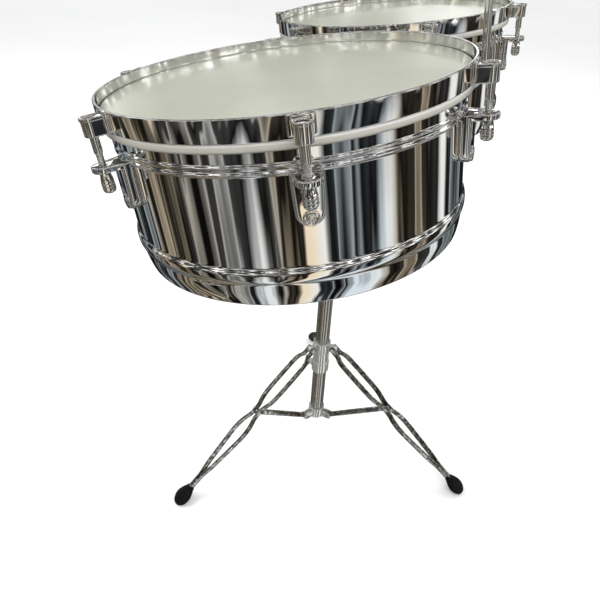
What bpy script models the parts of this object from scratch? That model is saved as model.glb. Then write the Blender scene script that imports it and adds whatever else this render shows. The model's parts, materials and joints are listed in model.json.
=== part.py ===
"""A pair of chromed steel timbales, 14 and 13 inch, on one double-braced tripod stand.

Units are metres and +Z is up. The two drums hang side by side along X, the larger one at +X, and lean
towards the player at -Y. Sizes below are from the foot of the post's axis. At the end everything is moved
sideways together, so that the origin is on the floor in the middle of the whole object.
"""
from math import atan2, cos, pi, radians, sin, tau

import bmesh
import bpy
from mathutils import Matrix, Vector

MM = 0.001
INCH = 25.4 * MM
GAP = 0.3 * MM  # between pieces that touch

# Where the drums hang
TILT = radians(9.5)  # of the crossbar and the large drum, top towards the player
SMALL_DRUM_TILT = radians(7.5)
TILTER_PIVOT_HEIGHT = 640 * MM
CROSSBAR_OFFSET = Vector((0, 11.9 * MM, 61.5 * MM))  # from the tilter's pivot
HOOP_TOP_ABOVE_CROSSBAR = 75 * MM
HALF_DRUM_GAP = 20.4 * MM  # from the post's axis to either counterhoop

# One drum. Heights are below the top edge of its counterhoop.
SHELL_RADIUS = {"large_drum": 14 * INCH / 2, "small_drum": 13 * INCH / 2}
HOOP_OVER_SHELL = 9.2 * MM
HOOP_THICKNESS = 3 * MM
HOOP_HEIGHT = 18.9 * MM
FILM_DEPTH = 10.5 * MM
FILM_THICKNESS = 0.4 * MM
FLESH_HOOP_BOTTOM = 27.4 * MM
SHELL_THICKNESS = 1.5 * MM
BEAD_DEPTHS = (40.5 * MM, 46.5 * MM)
SHELL_BOTTOM = 171.9 * MM
ROUND_STEPS = 48
BOLT_STEPS = 8

# Tension gear, six of each on a drum
LUG_COUNT = 6
FIRST_LUG = {"large_drum": radians(28), "small_drum": radians(30.5)}  # azimuth
ROD_OUTSIDE_HOOP = 13 * MM
ROD_RADIUS = 4 * MM
THREAD_RADIUS = 3.2 * MM
THREAD_TOP = 34 * MM
ROD_BOTTOM = 68 * MM
HOOP_EAR_RADIUS = 7.6 * MM
HOOP_EAR_TOP = 2 * MM
HOOP_EAR_BOTTOM = 18.6 * MM
HOOP_EAR_PLATE_WIDTH = 22.5 * MM
HOOP_EAR_PLATE_BOTTOM = 17 * MM
RECESS_RADIUS = 5.6 * MM
RECESS_DEPTH = 10 * MM
EAR_TOP = 44 * MM
EAR_THICKNESS = 6 * MM
EAR_RADIUS = 10.5 * MM
LUG_WIDTH = 26 * MM
LUG_STAND_OFF = 10 * MM
LUG_BOTTOM = 91 * MM
LUG_SCREW_DEPTH = 82.8 * MM
NUT_TOP = EAR_TOP + EAR_THICKNESS + GAP
NUT_HEIGHT = 20 * MM
NUT_BORE_DEPTH = 18 * MM

# Shell mount and crossbar
MOUNT_ROD_RADIUS = 6.35 * MM
MOUNT_WIDTH = 46 * MM
MOUNT_HEIGHT = 52 * MM
MOUNT_DEPTH = 7 * MM
CROSSBAR_RADIUS = 13 * MM
CROSSBAR_HALF_LENGTH = 20 * MM
CROSSBAR_WEB = 5 * MM
LARGE_CLAMP = Vector((11 * MM, 0, 0))  # where a wing bolt grips each mount's rod, from the middle
SMALL_CLAMP = Vector((-11 * MM, 0, 0))
COWBELL_CLAMP = Vector((0, 23 * MM, 0))
TILTER_DISC_RADIUS = 22 * MM
TILTER_DISC_WIDTH = 10.6 * MM
COWBELL_ROD_RADIUS = 4.75 * MM
COWBELL_REACH = 169 * MM
COWBELL_BEND = 25 * MM
COWBELL_TOP = 170 * MM

# Post
BASE_TUBE_RADIUS = 12.7 * MM
BASE_TUBE_INNER = 11.5 * MM
BASE_TUBE_SPAN = (63 * MM, 430 * MM)
HEIGHT_TUBE_RADIUS = 11.1 * MM
HEIGHT_TUBE_SPAN = (150 * MM, 610 * MM)
TUBE_STEPS = 24

# Tripod. Radii are from the post's axis.
LEG_AZIMUTHS = [radians(angle) for angle in (201.5, 326.9, 86.9)]
LEG_TOP = Vector((24 * MM, 0, 242.9 * MM))
LEG_TIP = Vector((298.4 * MM, 0, 10 * MM))
BRACE_BOTTOM = Vector((27 * MM, 0, 70 * MM))
BRACE_JOINT_SHARE = 0.418  # of the way down the leg
STRIP_THICKNESS = 3 * MM
STRIP_HEIGHT = 11 * MM
LEG_BOW = 15 * MM
PIN_RADIUS = 2.5 * MM
WING_AZIMUTH = radians(-93)
WING_HEIGHT = 195 * MM


def clear_scene():
    for item in list(bpy.data.objects):
        bpy.data.objects.remove(item, do_unlink=True)


def material(name, colour, roughness, metallic):
    new = bpy.data.materials.new(name)
    new.use_nodes = True
    shader = new.node_tree.nodes["Principled BSDF"]
    shader.inputs["Base Color"].default_value = (*colour, 1)
    shader.inputs["Roughness"].default_value = roughness
    shader.inputs["Metallic"].default_value = metallic
    new.diffuse_color = (*colour, 1)
    return new


def link(name, mesh):
    made = bpy.data.objects.new(name, mesh)
    COLLECTION.objects.link(made)
    return made


def baked(item):
    """The object's shape with its modifiers applied, as a mesh of its own. The object is removed."""
    bpy.context.view_layer.update()
    mesh = bpy.data.meshes.new_from_object(item.evaluated_get(bpy.context.evaluated_depsgraph_get()))
    bpy.data.objects.remove(item, do_unlink=True)
    return mesh


def sewn(mesh):
    """The mesh with points that coincide made one, such as a filled curve's caps and sides."""
    shape = bmesh.new()
    shape.from_mesh(mesh)
    bmesh.ops.remove_doubles(shape, verts=shape.verts, dist=2e-6)
    bmesh.ops.dissolve_degenerate(shape, edges=shape.edges, dist=1e-6)
    bmesh.ops.recalc_face_normals(shape, faces=shape.faces)
    shape.to_mesh(mesh)
    shape.free()
    return mesh


def turned(profile, steps=ROUND_STEPS):
    """A profile of (radius, height) points, outer side downwards, turned about Z."""
    mesh = bpy.data.meshes.new("profile")
    points = [(radius, 0, height) for radius, height in profile]
    edges = [(k, k + 1) for k in range(len(points) - 1)]
    if profile[0][0] > 0:
        edges.append((len(points) - 1, 0))
    mesh.from_pydata(points, edges, [])
    item = link("turned", mesh)
    screw = item.modifiers.new("Screw", "SCREW")
    screw.steps = screw.render_steps = steps
    screw.use_merge_vertices = True
    screw.merge_threshold = 1e-5
    return baked(item)


def primitive(make):
    mesh = bpy.data.meshes.new("primitive")
    shape = bmesh.new()
    make(shape)
    bmesh.ops.recalc_face_normals(shape, faces=shape.faces)
    shape.to_mesh(mesh)
    shape.free()
    return mesh


def block(low, high):
    """A box between two corners."""
    low, high = Vector(low), Vector(high)
    place = Matrix.Translation((low + high) / 2) @ Matrix.Diagonal((*(high - low), 1))
    return primitive(lambda shape: bmesh.ops.create_cube(shape, size=1, matrix=place))


def rod(start, end, radius, steps=16, end_radius=None):
    """A cylinder or cone from one point to another."""
    start, end = Vector(start), Vector(end)
    turn = (end - start).to_track_quat("Z", "Y").to_matrix().to_4x4()
    place = Matrix.Translation((start + end) / 2) @ turn
    return primitive(lambda shape: bmesh.ops.create_cone(
        shape, cap_ends=True, segments=steps, radius1=radius,
        radius2=radius if end_radius is None else end_radius, depth=(end - start).length, matrix=place))


def moved(mesh, place):
    mesh.transform(place)
    return mesh


def joined(base, add=(), cut=()):
    """One body: a mesh with others added to it and then others cut from it."""
    for operation, tools in (("UNION", add), ("DIFFERENCE", cut)):
        for tool_mesh in tools:
            item, tool = link("body", base), link("tool", tool_mesh)
            step = item.modifiers.new("Boolean", "BOOLEAN")
            step.operation = operation
            step.solver = "EXACT"
            step.object = tool
            base = sewn(baked(item))
            bpy.data.objects.remove(tool, do_unlink=True)
    return base


def place(name, mesh, look, parent=None, location=(0, 0, 0), spin=0):
    """The finished piece, named, with its material, its origin at the location and turned about Z."""
    mesh.name = name
    mesh.materials.clear()
    mesh.materials.append(look)
    item = link(name, mesh)
    item.parent = parent or ROOT
    item.location = location
    item.rotation_euler = (0, 0, spin)
    return item


def frame(name, location, tilt, parent=None):
    """An empty that leans by the tilt about X, its top towards -Y."""
    empty = link(name, None)
    empty.empty_display_size = 0.03
    empty.parent = parent or ROOT
    empty.location = location
    empty.rotation_euler = (tilt, 0, 0)
    return empty


def wing_bolt(shaft_length, shaft_radius, wing_span):
    """A wing bolt along -Z, its shaft's tip at the origin and its wings across X above the shaft."""
    hub = rod((0, 0, shaft_length), (0, 0, shaft_length + 9 * MM), 5.5 * MM, 16)
    shaft = rod((0, 0, 0), (0, 0, shaft_length + 2 * MM), shaft_radius, 16)
    wings = []
    for side in (-1, 1):
        root = Vector((0, 0, shaft_length + 4.5 * MM))
        tip = Vector((side * (wing_span / 2 - 5 * MM), 0, shaft_length + 8 * MM))
        wings.append(rod(tip - Vector((0, 1.8 * MM, 0)), tip + Vector((0, 1.8 * MM, 0)), 5 * MM, 16))
        blade = block((0, -1.8 * MM, -3 * MM), ((tip - root).length, 1.8 * MM, 3 * MM))
        aim = Matrix.Rotation(-atan2(tip.z - root.z, tip.x - root.x), 4, "Y")
        wings.append(moved(blade, Matrix.Translation(root) @ aim))
    return joined(hub, [shaft, *wings])


def shell_mesh(radius):
    """The straight wall with two thin beads near the top, one wide bead and a drawn-in skirt below."""
    outer = [(radius - 1.2 * MM, -FILM_DEPTH - FILM_THICKNESS - GAP), (radius, -13 * MM)]
    for depth in BEAD_DEPTHS:
        outer += [(radius, -depth + 2 * MM), (radius + 1.6 * MM, -depth), (radius, -depth - 2 * MM)]
    outer += [(radius, -131 * MM), (radius + 1.6 * MM, -134.5 * MM), (radius + 2.9 * MM, -138.5 * MM),
              (radius + 2.9 * MM, -142.5 * MM), (radius + 1.2 * MM, -147 * MM),
              (radius - 1.4 * MM, -163 * MM), (radius - 3.5 * MM, -SHELL_BOTTOM)]
    inside = radius - SHELL_THICKNESS
    inner = [(inside - 3.5 * MM, -SHELL_BOTTOM), (inside - 1.4 * MM, -163 * MM), (inside, -150 * MM),
             (inside, -13 * MM), (inside - 1.2 * MM, outer[0][1])]
    return turned(outer + inner)


def lug_parts(radius, rod_radius):
    """The pieces of a lug bracket at azimuth 0, and the hole through its ear."""
    foot = radius - 1.2 * MM
    face = radius + LUG_STAND_OFF
    half = LUG_WIDTH / 2
    ear_bottom = -EAR_TOP - EAR_THICKNESS
    add = [
        block((foot, -half, -LUG_BOTTOM + half), (face, half, -EAR_TOP)),
        rod((foot, 0, -LUG_BOTTOM + half), (face, 0, -LUG_BOTTOM + half), half),
        block((foot, -EAR_RADIUS, ear_bottom), (rod_radius, EAR_RADIUS, -EAR_TOP)),
        rod((rod_radius, 0, ear_bottom), (rod_radius, 0, -EAR_TOP), EAR_RADIUS),
        rod((foot, 0, -LUG_SCREW_DEPTH), (face + 2.4 * MM, 0, -LUG_SCREW_DEPTH), 4.4 * MM, 10),
    ]
    hole = rod((rod_radius, 0, ear_bottom - 1 * MM), (rod_radius, 0, -EAR_TOP + 1 * MM),
               THREAD_RADIUS + GAP + 0.2 * MM, 12)
    return joined(add[0], add[1:], [hole])


def all_round(first, make):
    """Six of what make() gives, spread about Z from the first azimuth."""
    return [moved(make(), Matrix.Rotation(first + k * tau / LUG_COUNT, 4, "Z")) for k in range(LUG_COUNT)]


def shell_with_lugs(radius, rod_radius, first):
    return joined(shell_mesh(radius), all_round(first, lambda: lug_parts(radius, rod_radius)))


def head_mesh(radius, hoop_radius):
    """The film, its collar over the bearing edge and the flesh hoop that it is crimped into."""
    film = -FILM_DEPTH
    collar = hoop_radius - HOOP_THICKNESS - 0.9 * MM
    inside = radius + GAP + 0.1 * MM
    return turned([
        (0, film), (collar - 1.8 * MM, film), (collar - 0.5 * MM, film - 0.5 * MM),
        (collar, film - 1.8 * MM), (collar, -HOOP_HEIGHT - GAP), (hoop_radius - 1.5 * MM, -HOOP_HEIGHT - GAP),
        (hoop_radius - 1.5 * MM, -FLESH_HOOP_BOTTOM), (inside, -FLESH_HOOP_BOTTOM),
        (inside, film - FILM_THICKNESS), (0, film - FILM_THICKNESS)])


def hoop_ear(hoop_radius):
    """A plate on the hoop's outside that carries a round-ended ear, at azimuth 0."""
    rod_radius = hoop_radius + ROD_OUTSIDE_HOOP
    root = hoop_radius - 1.5 * MM
    half = HOOP_EAR_PLATE_WIDTH / 2
    plate = block((root, -half, -HOOP_EAR_PLATE_BOTTOM), (hoop_radius + 2.6 * MM, half, 0.5 * MM))
    low = Vector((rod_radius, 0, -HOOP_EAR_BOTTOM))
    high = Vector((rod_radius, 0, -HOOP_EAR_TOP))
    floor = Vector((rod_radius, 0, -RECESS_DEPTH))
    across = Vector((0, HOOP_EAR_RADIUS, 0))
    neck = block(low - across - Vector((ROD_OUTSIDE_HOOP + 1.2 * MM, 0, 0)), high + across)
    end = rod(low, high, HOOP_EAR_RADIUS)
    recess = rod(floor, high + Vector((0, 0, 1 * MM)), RECESS_RADIUS, BOLT_STEPS)
    bore = rod(low - Vector((0, 0, 1 * MM)), floor + Vector((0, 0, 1 * MM)), ROD_RADIUS + GAP, BOLT_STEPS)
    return joined(plate, [neck, end], [recess, bore])


def counterhoop_mesh(hoop_radius, first):
    """The hoop that presses the head down, with six ears for the tension rods."""
    inside = hoop_radius - HOOP_THICKNESS
    edge = 0.7 * MM
    hoop = turned([(hoop_radius - edge, 0), (hoop_radius, -edge), (hoop_radius, -HOOP_HEIGHT),
                   (inside, -HOOP_HEIGHT), (inside, -edge), (inside + edge, 0)])
    return joined(hoop, all_round(first, lambda: hoop_ear(hoop_radius)))


def tension_rod_mesh():
    """A square-headed bolt along Z that hangs in the hoop's ear. Its origin is level with the hoop's top."""
    seat = -RECESS_DEPTH + GAP
    head = rod((0, 0, seat), (0, 0, seat + 2 * MM), RECESS_RADIUS - GAP - 0.2 * MM, BOLT_STEPS)
    square = rod((0, 0, seat + 1 * MM), (0, 0, seat + 6 * MM), 4.6 * MM, 4)
    shank = rod((0, 0, -THREAD_TOP), (0, 0, seat + 1 * MM), ROD_RADIUS, BOLT_STEPS)
    thread = rod((0, 0, -ROD_BOTTOM), (0, 0, -THREAD_TOP + 1 * MM), THREAD_RADIUS, BOLT_STEPS)
    return joined(head, [square, shank, thread])


def tension_nut_mesh():
    """A long closed nut, widest below its middle, turning on the rod's thread. Its top is at the origin."""
    body = turned([(0, 0), (5.4 * MM, 0), (5.4 * MM, -2 * MM), (6.6 * MM, -12 * MM), (6.6 * MM, -14.5 * MM),
                   (5.4 * MM, -18 * MM), (3 * MM, -19.6 * MM), (0, -NUT_HEIGHT)], BOLT_STEPS)
    bore = rod((0, 0, -NUT_BORE_DEPTH), (0, 0, 1 * MM), THREAD_RADIUS + GAP + 0.1 * MM, BOLT_STEPS)
    return joined(body, [], [bore])


def mount_mesh(radius, hoop_radius):
    """The plate on the drum's inward side with the rod that the crossbar clamps, along +X."""
    axis = -HOOP_TOP_ABOVE_CROSSBAR
    face = radius + MOUNT_DEPTH
    tip = hoop_radius + HALF_DRUM_GAP - CROSSBAR_WEB - 1 * MM
    plate = block((radius - 4 * MM, -MOUNT_WIDTH / 2, axis - MOUNT_HEIGHT / 2),
                  (face, MOUNT_WIDTH / 2, axis + MOUNT_HEIGHT / 2))
    add = [rod((face - 2 * MM, 0, axis), (tip, 0, axis), MOUNT_ROD_RADIUS)]
    for level in (axis - 18 * MM, axis + 18 * MM):
        add.append(rod((face - 2 * MM, 0, level), (face + 2.5 * MM, 0, level), 4.5 * MM, 6))
    hollow = rod((0, 0, axis - MOUNT_HEIGHT), (0, 0, axis + MOUNT_HEIGHT), radius + 0.4 * MM, ROUND_STEPS)
    return joined(plate, add, [hollow])


def build_drum(name, side, parent, extra_tilt):
    """One drum: side is +1 at +X or -1 at -X. Its frame's origin is on the crossbar's axis."""
    radius = SHELL_RADIUS[name]
    hoop_radius = radius + HOOP_OVER_SHELL
    rod_radius = hoop_radius + ROD_OUTSIDE_HOOP
    first = FIRST_LUG[name]
    swing = frame(name + "_frame", (0, 0, 0), extra_tilt, parent)
    centre = Vector((side * (hoop_radius + HALF_DRUM_GAP), 0, HOOP_TOP_ABOVE_CROSSBAR))
    place(name + "_shell", shell_with_lugs(radius, rod_radius, first), CHROME, swing, centre)
    place(name + "_head", head_mesh(radius, hoop_radius), FILM, swing, centre)
    place(name + "_counterhoop", counterhoop_mesh(hoop_radius, first), CHROME, swing, centre)
    inward = 0 if side < 0 else pi
    place(name + "_mount", mount_mesh(radius, hoop_radius), CHROME, swing, centre, inward)
    for k in range(LUG_COUNT):
        azimuth = first + k * tau / LUG_COUNT
        on_rod = centre + Vector((rod_radius * cos(azimuth), rod_radius * sin(azimuth), 0))
        place(f"{name}_tension_rod_{k + 1}", tension_rod_mesh(), CHROME, swing, on_rod, azimuth)
        under_ear = on_rod - Vector((0, 0, NUT_TOP))
        place(f"{name}_tension_nut_{k + 1}", tension_nut_mesh(), CHROME, swing, under_ear, azimuth)


def crossbar_mesh():
    """The tilting half of the tilter with the crossbar that takes both drums. The origin is the pivot."""
    axis = crossbar_axis()
    across = Vector((CROSSBAR_HALF_LENGTH, 0, 0))
    bar = rod(axis - across, axis + across, CROSSBAR_RADIUS)
    disc_ends = Vector((0.4 * MM, 0, 0)), Vector((TILTER_DISC_WIDTH, 0, 0))
    arm = block((0.4 * MM, -10 * MM, 0), (TILTER_DISC_WIDTH, 10 * MM, axis.length))
    lean = Matrix.Rotation(-atan2(axis.y, axis.z), 4, "X")
    boss_end = axis + Vector((0, 30 * MM, 0))
    add = [
        rod(*disc_ends, TILTER_DISC_RADIUS, 32),
        moved(arm, lean),
        rod(axis, boss_end, 10 * MM),
        block(axis + Vector((-4 * MM, -24 * MM, -8 * MM)), axis + Vector((18 * MM, 0, 8 * MM))),
        block(axis + Vector((-18 * MM, -8 * MM, 0)), axis + Vector((-4 * MM, 8 * MM, 24 * MM))),
    ]
    bore_radius = MOUNT_ROD_RADIUS + GAP
    cut = [rod(axis + side * across * 1.1, axis + Vector((side * CROSSBAR_WEB, 0, 0)), bore_radius)
           for side in (-1, 1)]
    cut += [
        rod((-1 * MM, 0, 0), (TILTER_DISC_WIDTH + 1 * MM, 0, 0), 4.3 * MM),
        rod(axis + Vector((0, 15 * MM, 0)), boss_end + Vector((0, 1 * MM, 0)), COWBELL_ROD_RADIUS + GAP),
        rod(axis + LARGE_CLAMP, axis + LARGE_CLAMP - Vector((0, 40 * MM, 0)), 3.3 * MM),
        rod(axis + SMALL_CLAMP, axis + SMALL_CLAMP + Vector((0, 0, 40 * MM)), 3.3 * MM),
        rod(axis + COWBELL_CLAMP, axis + COWBELL_CLAMP + Vector((0, 0, 20 * MM)), 2.8 * MM, 16),
    ]
    return joined(bar, add, cut)


def crossbar_axis():
    """The crossbar's axis in the tilter's leaning frame."""
    return Matrix.Rotation(-TILT, 3, "X") @ CROSSBAR_OFFSET


def cowbell_rod():
    """A rod out from behind the crossbar that turns up to carry a cowbell, as a curve with round ends."""
    curve = bpy.data.curves.new("cowbell_rod", "CURVE")
    curve.dimensions = "3D"
    curve.bevel_depth = COWBELL_ROD_RADIUS
    curve.bevel_resolution = 4
    curve.use_fill_caps = True
    start = 15.5 * MM
    points = [(0, start, 0), (0, COWBELL_REACH - COWBELL_BEND, 0)]
    for k in range(1, 9):
        angle = k * pi / 16
        points.append((0, COWBELL_REACH - COWBELL_BEND * (1 - sin(angle)), COWBELL_BEND * (1 - cos(angle))))
    points.append((0, COWBELL_REACH, COWBELL_TOP))
    spline = curve.splines.new("POLY")
    spline.points.add(len(points) - 1)
    for point, at in zip(spline.points, points):
        point.co = (*at, 1)
    return sewn(baked(link("cowbell_rod", curve)))


def tilter_base_mesh():
    """The fixed half of the tilter: a socket over the height tube and a disc beside the pivot."""
    top = HEIGHT_TUBE_SPAN[1] - TILTER_PIVOT_HEIGHT
    socket = rod((0, 0, top - 32 * MM), (0, 0, top + 6 * MM), 17 * MM, TUBE_STEPS)
    disc = rod((-TILTER_DISC_WIDTH, 0, 0), (-0.4 * MM, 0, 0), TILTER_DISC_RADIUS, 32)
    neck = block((-TILTER_DISC_WIDTH, -12 * MM, top), (-0.4 * MM, 12 * MM, 0))
    bore = rod((0, 0, top - 33 * MM), (0, 0, top + GAP), HEIGHT_TUBE_RADIUS + GAP, TUBE_STEPS)
    hole = rod((-20 * MM, 0, 0), (5 * MM, 0, 0), 4.3 * MM)
    return joined(socket, [disc, neck], [bore, hole])


def tube_mesh(span, outer, inner):
    low, high = span
    return turned([(outer, high), (outer, low), (inner, low), (inner, high)], TUBE_STEPS)


def build_head_of_stand():
    """The tilter, the crossbar and everything that they carry."""
    pivot = frame("tilter_pivot", (0, 0, TILTER_PIVOT_HEIGHT), TILT)
    place("tilter_base", tilter_base_mesh(), CHROME, None, (0, 0, TILTER_PIVOT_HEIGHT))
    place("crossbar", crossbar_mesh(), CHROME, pivot)
    bolt = place("tilter_wing_bolt", wing_bolt(24 * MM, 4 * MM, 34 * MM), CHROME, pivot, (11 * MM, 0, 0))
    bolt.rotation_euler = (0, -pi / 2, 0)
    axis = crossbar_axis()
    tip = MOUNT_ROD_RADIUS + GAP
    bolt = place("large_drum_wing_bolt", wing_bolt(19 * MM, 3 * MM, 22 * MM), CHROME, pivot,
                 axis + LARGE_CLAMP - Vector((0, tip, 0)))
    bolt.rotation_euler = (pi / 2, 0, 0)
    place("small_drum_wing_bolt", wing_bolt(19 * MM, 3 * MM, 22 * MM), CHROME, pivot,
          axis + SMALL_CLAMP + Vector((0, 0, tip)))
    bolt = place("cowbell_wing_bolt", wing_bolt(12 * MM, 2.5 * MM, 22 * MM), CHROME, pivot,
                 axis + COWBELL_CLAMP + Vector((0, 0, COWBELL_ROD_RADIUS + GAP)))
    bolt.rotation_euler = (0, 0, pi / 2)
    place("cowbell_rod", cowbell_rod(), CHROME, pivot, axis)
    carried = frame("crossbar_axis", axis, 0, pivot)
    build_drum("large_drum", 1, carried, 0)
    build_drum("small_drum", -1, carried, SMALL_DRUM_TILT - TILT)


def build_post():
    place("base_tube", tube_mesh(BASE_TUBE_SPAN, BASE_TUBE_RADIUS, BASE_TUBE_INNER), CHROME)
    thinner = HEIGHT_TUBE_RADIUS - 1.5 * MM
    place("height_tube", tube_mesh(HEIGHT_TUBE_SPAN, HEIGHT_TUBE_RADIUS, thinner), CHROME)
    top = BASE_TUBE_SPAN[1]
    outer, inner, lip = 18 * MM, BASE_TUBE_RADIUS + GAP, HEIGHT_TUBE_RADIUS + GAP
    sleeve = turned([(0, top + 10 * MM), (outer - 2 * MM, top + 10 * MM), (outer, top + 8 * MM),
                     (outer, top - 26 * MM), (0, top - 26 * MM)], TUBE_STEPS)
    level = top - 10 * MM
    boss = rod((0, -15 * MM, level), (0, -28 * MM, level), 8 * MM)
    hole = rod((0, -8 * MM, level), (0, -29 * MM, level), 3.8 * MM)
    bore = rod((0, 0, top - 27 * MM), (0, 0, top + GAP), inner, TUBE_STEPS)
    mouth = rod((0, 0, top - 27 * MM), (0, 0, top + 11 * MM), lip, TUBE_STEPS)
    place("height_clamp", joined(sleeve, [boss], [mouth, bore, hole]), CHROME)
    bolt = place("height_wing_bolt", wing_bolt(17 * MM, 3.5 * MM, 38 * MM), CHROME, None, (0, -inner, level))
    bolt.rotation_euler = (pi / 2, pi / 2, 0)
    ring = turned([(0, top + 23 * MM), (16 * MM, top + 23 * MM), (17 * MM, top + 22 * MM),
                   (17 * MM, top + 10 * MM + GAP), (0, top + 10 * MM + GAP)], TUBE_STEPS)
    ear = block((-4 * MM, 12 * MM, top + 12 * MM), (4 * MM, 24 * MM, top + 21 * MM))
    clear = rod((0, 0, top), (0, 0, top + 40 * MM), lip, TUBE_STEPS)
    place("memory_lock", joined(ring, [ear], [clear]), CHROME)


def around(azimuth):
    return Matrix.Rotation(azimuth, 4, "Z")


def tripod_collar_mesh():
    """The sliding collar, with a tongue for each leg and a boss for its wing bolt."""
    inner, sleeve, reach = BASE_TUBE_RADIUS + GAP, 14.4 * MM, 6.5 * MM
    body = turned([(0, 254 * MM), (14.8 * MM, 254 * MM), (15.8 * MM, 252 * MM), (15.8 * MM, 234 * MM),
                   (sleeve, 231 * MM), (sleeve, 208 * MM), (15.8 * MM, 206 * MM), (15.8 * MM, 185 * MM),
                   (14.8 * MM, 183 * MM), (0, 183 * MM)], TUBE_STEPS)
    add = []
    cut = []
    for azimuth in LEG_AZIMUTHS:
        tongue = block((14 * MM, -4 * MM, LEG_TOP.z - reach), (LEG_TOP.x, 4 * MM, LEG_TOP.z + reach))
        nose = rod(LEG_TOP - Vector((0, 4 * MM, 0)), LEG_TOP + Vector((0, 4 * MM, 0)), reach)
        hole = rod(LEG_TOP - Vector((0, 5 * MM, 0)), LEG_TOP + Vector((0, 5 * MM, 0)), PIN_RADIUS + GAP, 16)
        add += [moved(tongue, around(azimuth)), moved(nose, around(azimuth))]
        cut.append(moved(hole, around(azimuth)))
    boss = rod((14 * MM, 0, WING_HEIGHT), (17.4 * MM, 0, WING_HEIGHT), 7 * MM)
    hole = rod((10 * MM, 0, WING_HEIGHT), (19 * MM, 0, WING_HEIGHT), 3.8 * MM)
    add.append(moved(boss, around(WING_AZIMUTH)))
    cut.append(moved(hole, around(WING_AZIMUTH)))
    cut.append(rod((0, 0, 182 * MM), (0, 0, 255 * MM), inner, TUBE_STEPS))
    return joined(body, add, cut)


def brace_hub_mesh():
    """The foot of the post, with a clevis for each brace."""
    floor = BASE_TUBE_SPAN[0] - GAP
    cup = turned([(0, 84 * MM), (15.5 * MM, 84 * MM), (15.5 * MM, 62 * MM), (13.5 * MM, 60 * MM),
                  (0, 60 * MM)], TUBE_STEPS)
    reach = 6.5 * MM
    add = []
    cut = [rod((0, 0, floor), (0, 0, 90 * MM), BASE_TUBE_RADIUS + GAP, TUBE_STEPS)]
    pin = BRACE_BOTTOM
    for azimuth in LEG_AZIMUTHS:
        for side in (-1, 1):
            near, far = sorted((side * 3.5 * MM, side * 6.5 * MM))
            cheek = block((13.6 * MM, near, pin.z - reach), (pin.x, far, pin.z + reach))
            nose = rod(pin + Vector((0, near, 0)), pin + Vector((0, far, 0)), reach)
            add += [moved(cheek, around(azimuth)), moved(nose, around(azimuth))]
        hole = rod(pin - Vector((0, 8 * MM, 0)), pin + Vector((0, 8 * MM, 0)), PIN_RADIUS + GAP, 12)
        cut.append(moved(hole, around(azimuth)))
    return joined(cup, add, cut)


def leg_mesh():
    """Two strips bowed apart that pinch at the brace and at the foot. X runs down the leg from its pin."""
    length = (LEG_TIP - LEG_TOP).length
    joint = length * BRACE_JOINT_SHARE
    pinch, strip = 4.6 * MM, STRIP_THICKNESS
    bowed = LEG_BOW - strip
    inner = [(-5.5 * MM, pinch), (14 * MM, pinch), (30 * MM, bowed), (joint - 36 * MM, bowed),
             (joint - 10 * MM, pinch), (joint + 10 * MM, pinch), (joint + 32 * MM, bowed),
             (joint + 60 * MM, bowed), (length - 58 * MM, 0.3 * MM)]
    outer = [(along, across + strip) for along, across in inner[:-1]]
    outer += [(length - 50 * MM, strip + 0.6 * MM), (length - 6 * MM, strip + 0.6 * MM)]
    outline = outer + [(along, -across) for along, across in reversed(outer)]
    outline += [(along, -across) for along, across in inner[:-1]] + [(inner[-1][0], 0)]
    outline += list(reversed(inner[:-1]))
    curve = bpy.data.curves.new("leg", "CURVE")
    curve.dimensions = "2D"
    curve.fill_mode = "BOTH"
    curve.extrude = STRIP_HEIGHT / 2
    spline = curve.splines.new("POLY")
    spline.points.add(len(outline) - 1)
    spline.use_cyclic_u = True
    for point, (along, across) in zip(spline.points, outline):
        point.co = (along, across, 0, 1)
    strips = sewn(baked(link("leg", curve)))
    reach = pinch + strip
    pin = rod((0, -reach - 1.5 * MM, 0), (0, reach + 1.5 * MM, 0), PIN_RADIUS, 16)
    heads = [rod((at, side * (reach - 1 * MM), 0), (at, side * (reach + 1.8 * MM), 0), 4.2 * MM, 16)
             for at in (0, joint) for side in (-1, 1)]
    return joined(strips, [pin, *heads])


def foot_mesh(leg_angle):
    """A rubber spade over the leg's end, cut flat at the floor. X runs down the leg from the leg's pin."""
    length = (LEG_TIP - LEG_TOP).length
    body = turned([(0, 0), (8 * MM, 0), (9.5 * MM, -4 * MM), (14.5 * MM, -18 * MM), (15 * MM, -26 * MM),
                   (11.5 * MM, -36 * MM), (5 * MM, -41 * MM), (0, -42 * MM)], 24)
    body = moved(body, Matrix.Diagonal((0.8, 1, 1, 1)))
    along = Matrix.Translation((length - 26 * MM, 0, 0)) @ Matrix.Rotation(-pi / 2, 4, "Y")
    body = moved(body, along)
    deep = STRIP_HEIGHT / 2 + GAP
    socket = block((length - 30 * MM, -4.2 * MM, -deep), (length - 5.5 * MM, 4.2 * MM, deep))
    floor = block((-0.1, -0.1, -0.1), (0.1, 0.1, 0))
    to_leg = Matrix.Rotation(-leg_angle, 4, "Y") @ Matrix.Translation((0, 0, -LEG_TOP.z))
    return joined(body, [], [socket, moved(floor, to_leg @ Matrix.Translation((LEG_TIP.x, 0, 0)))])


def brace_mesh(length):
    """A flat bar with the pin of its clevis at the origin. X runs up the brace."""
    bar = block((0, -3 * MM, -5 * MM), (length, 3 * MM, 5 * MM))
    add = [rod((at, -3 * MM, 0), (at, 3 * MM, 0), 5 * MM) for at in (0, length)]
    add.append(rod((0, -8 * MM, 0), (0, 8 * MM, 0), PIN_RADIUS, 16))
    add += [rod((0, side * 6.9 * MM, 0), (0, side * 8.6 * MM, 0), 4.2 * MM, 16) for side in (-1, 1)]
    return joined(bar, add)


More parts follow.
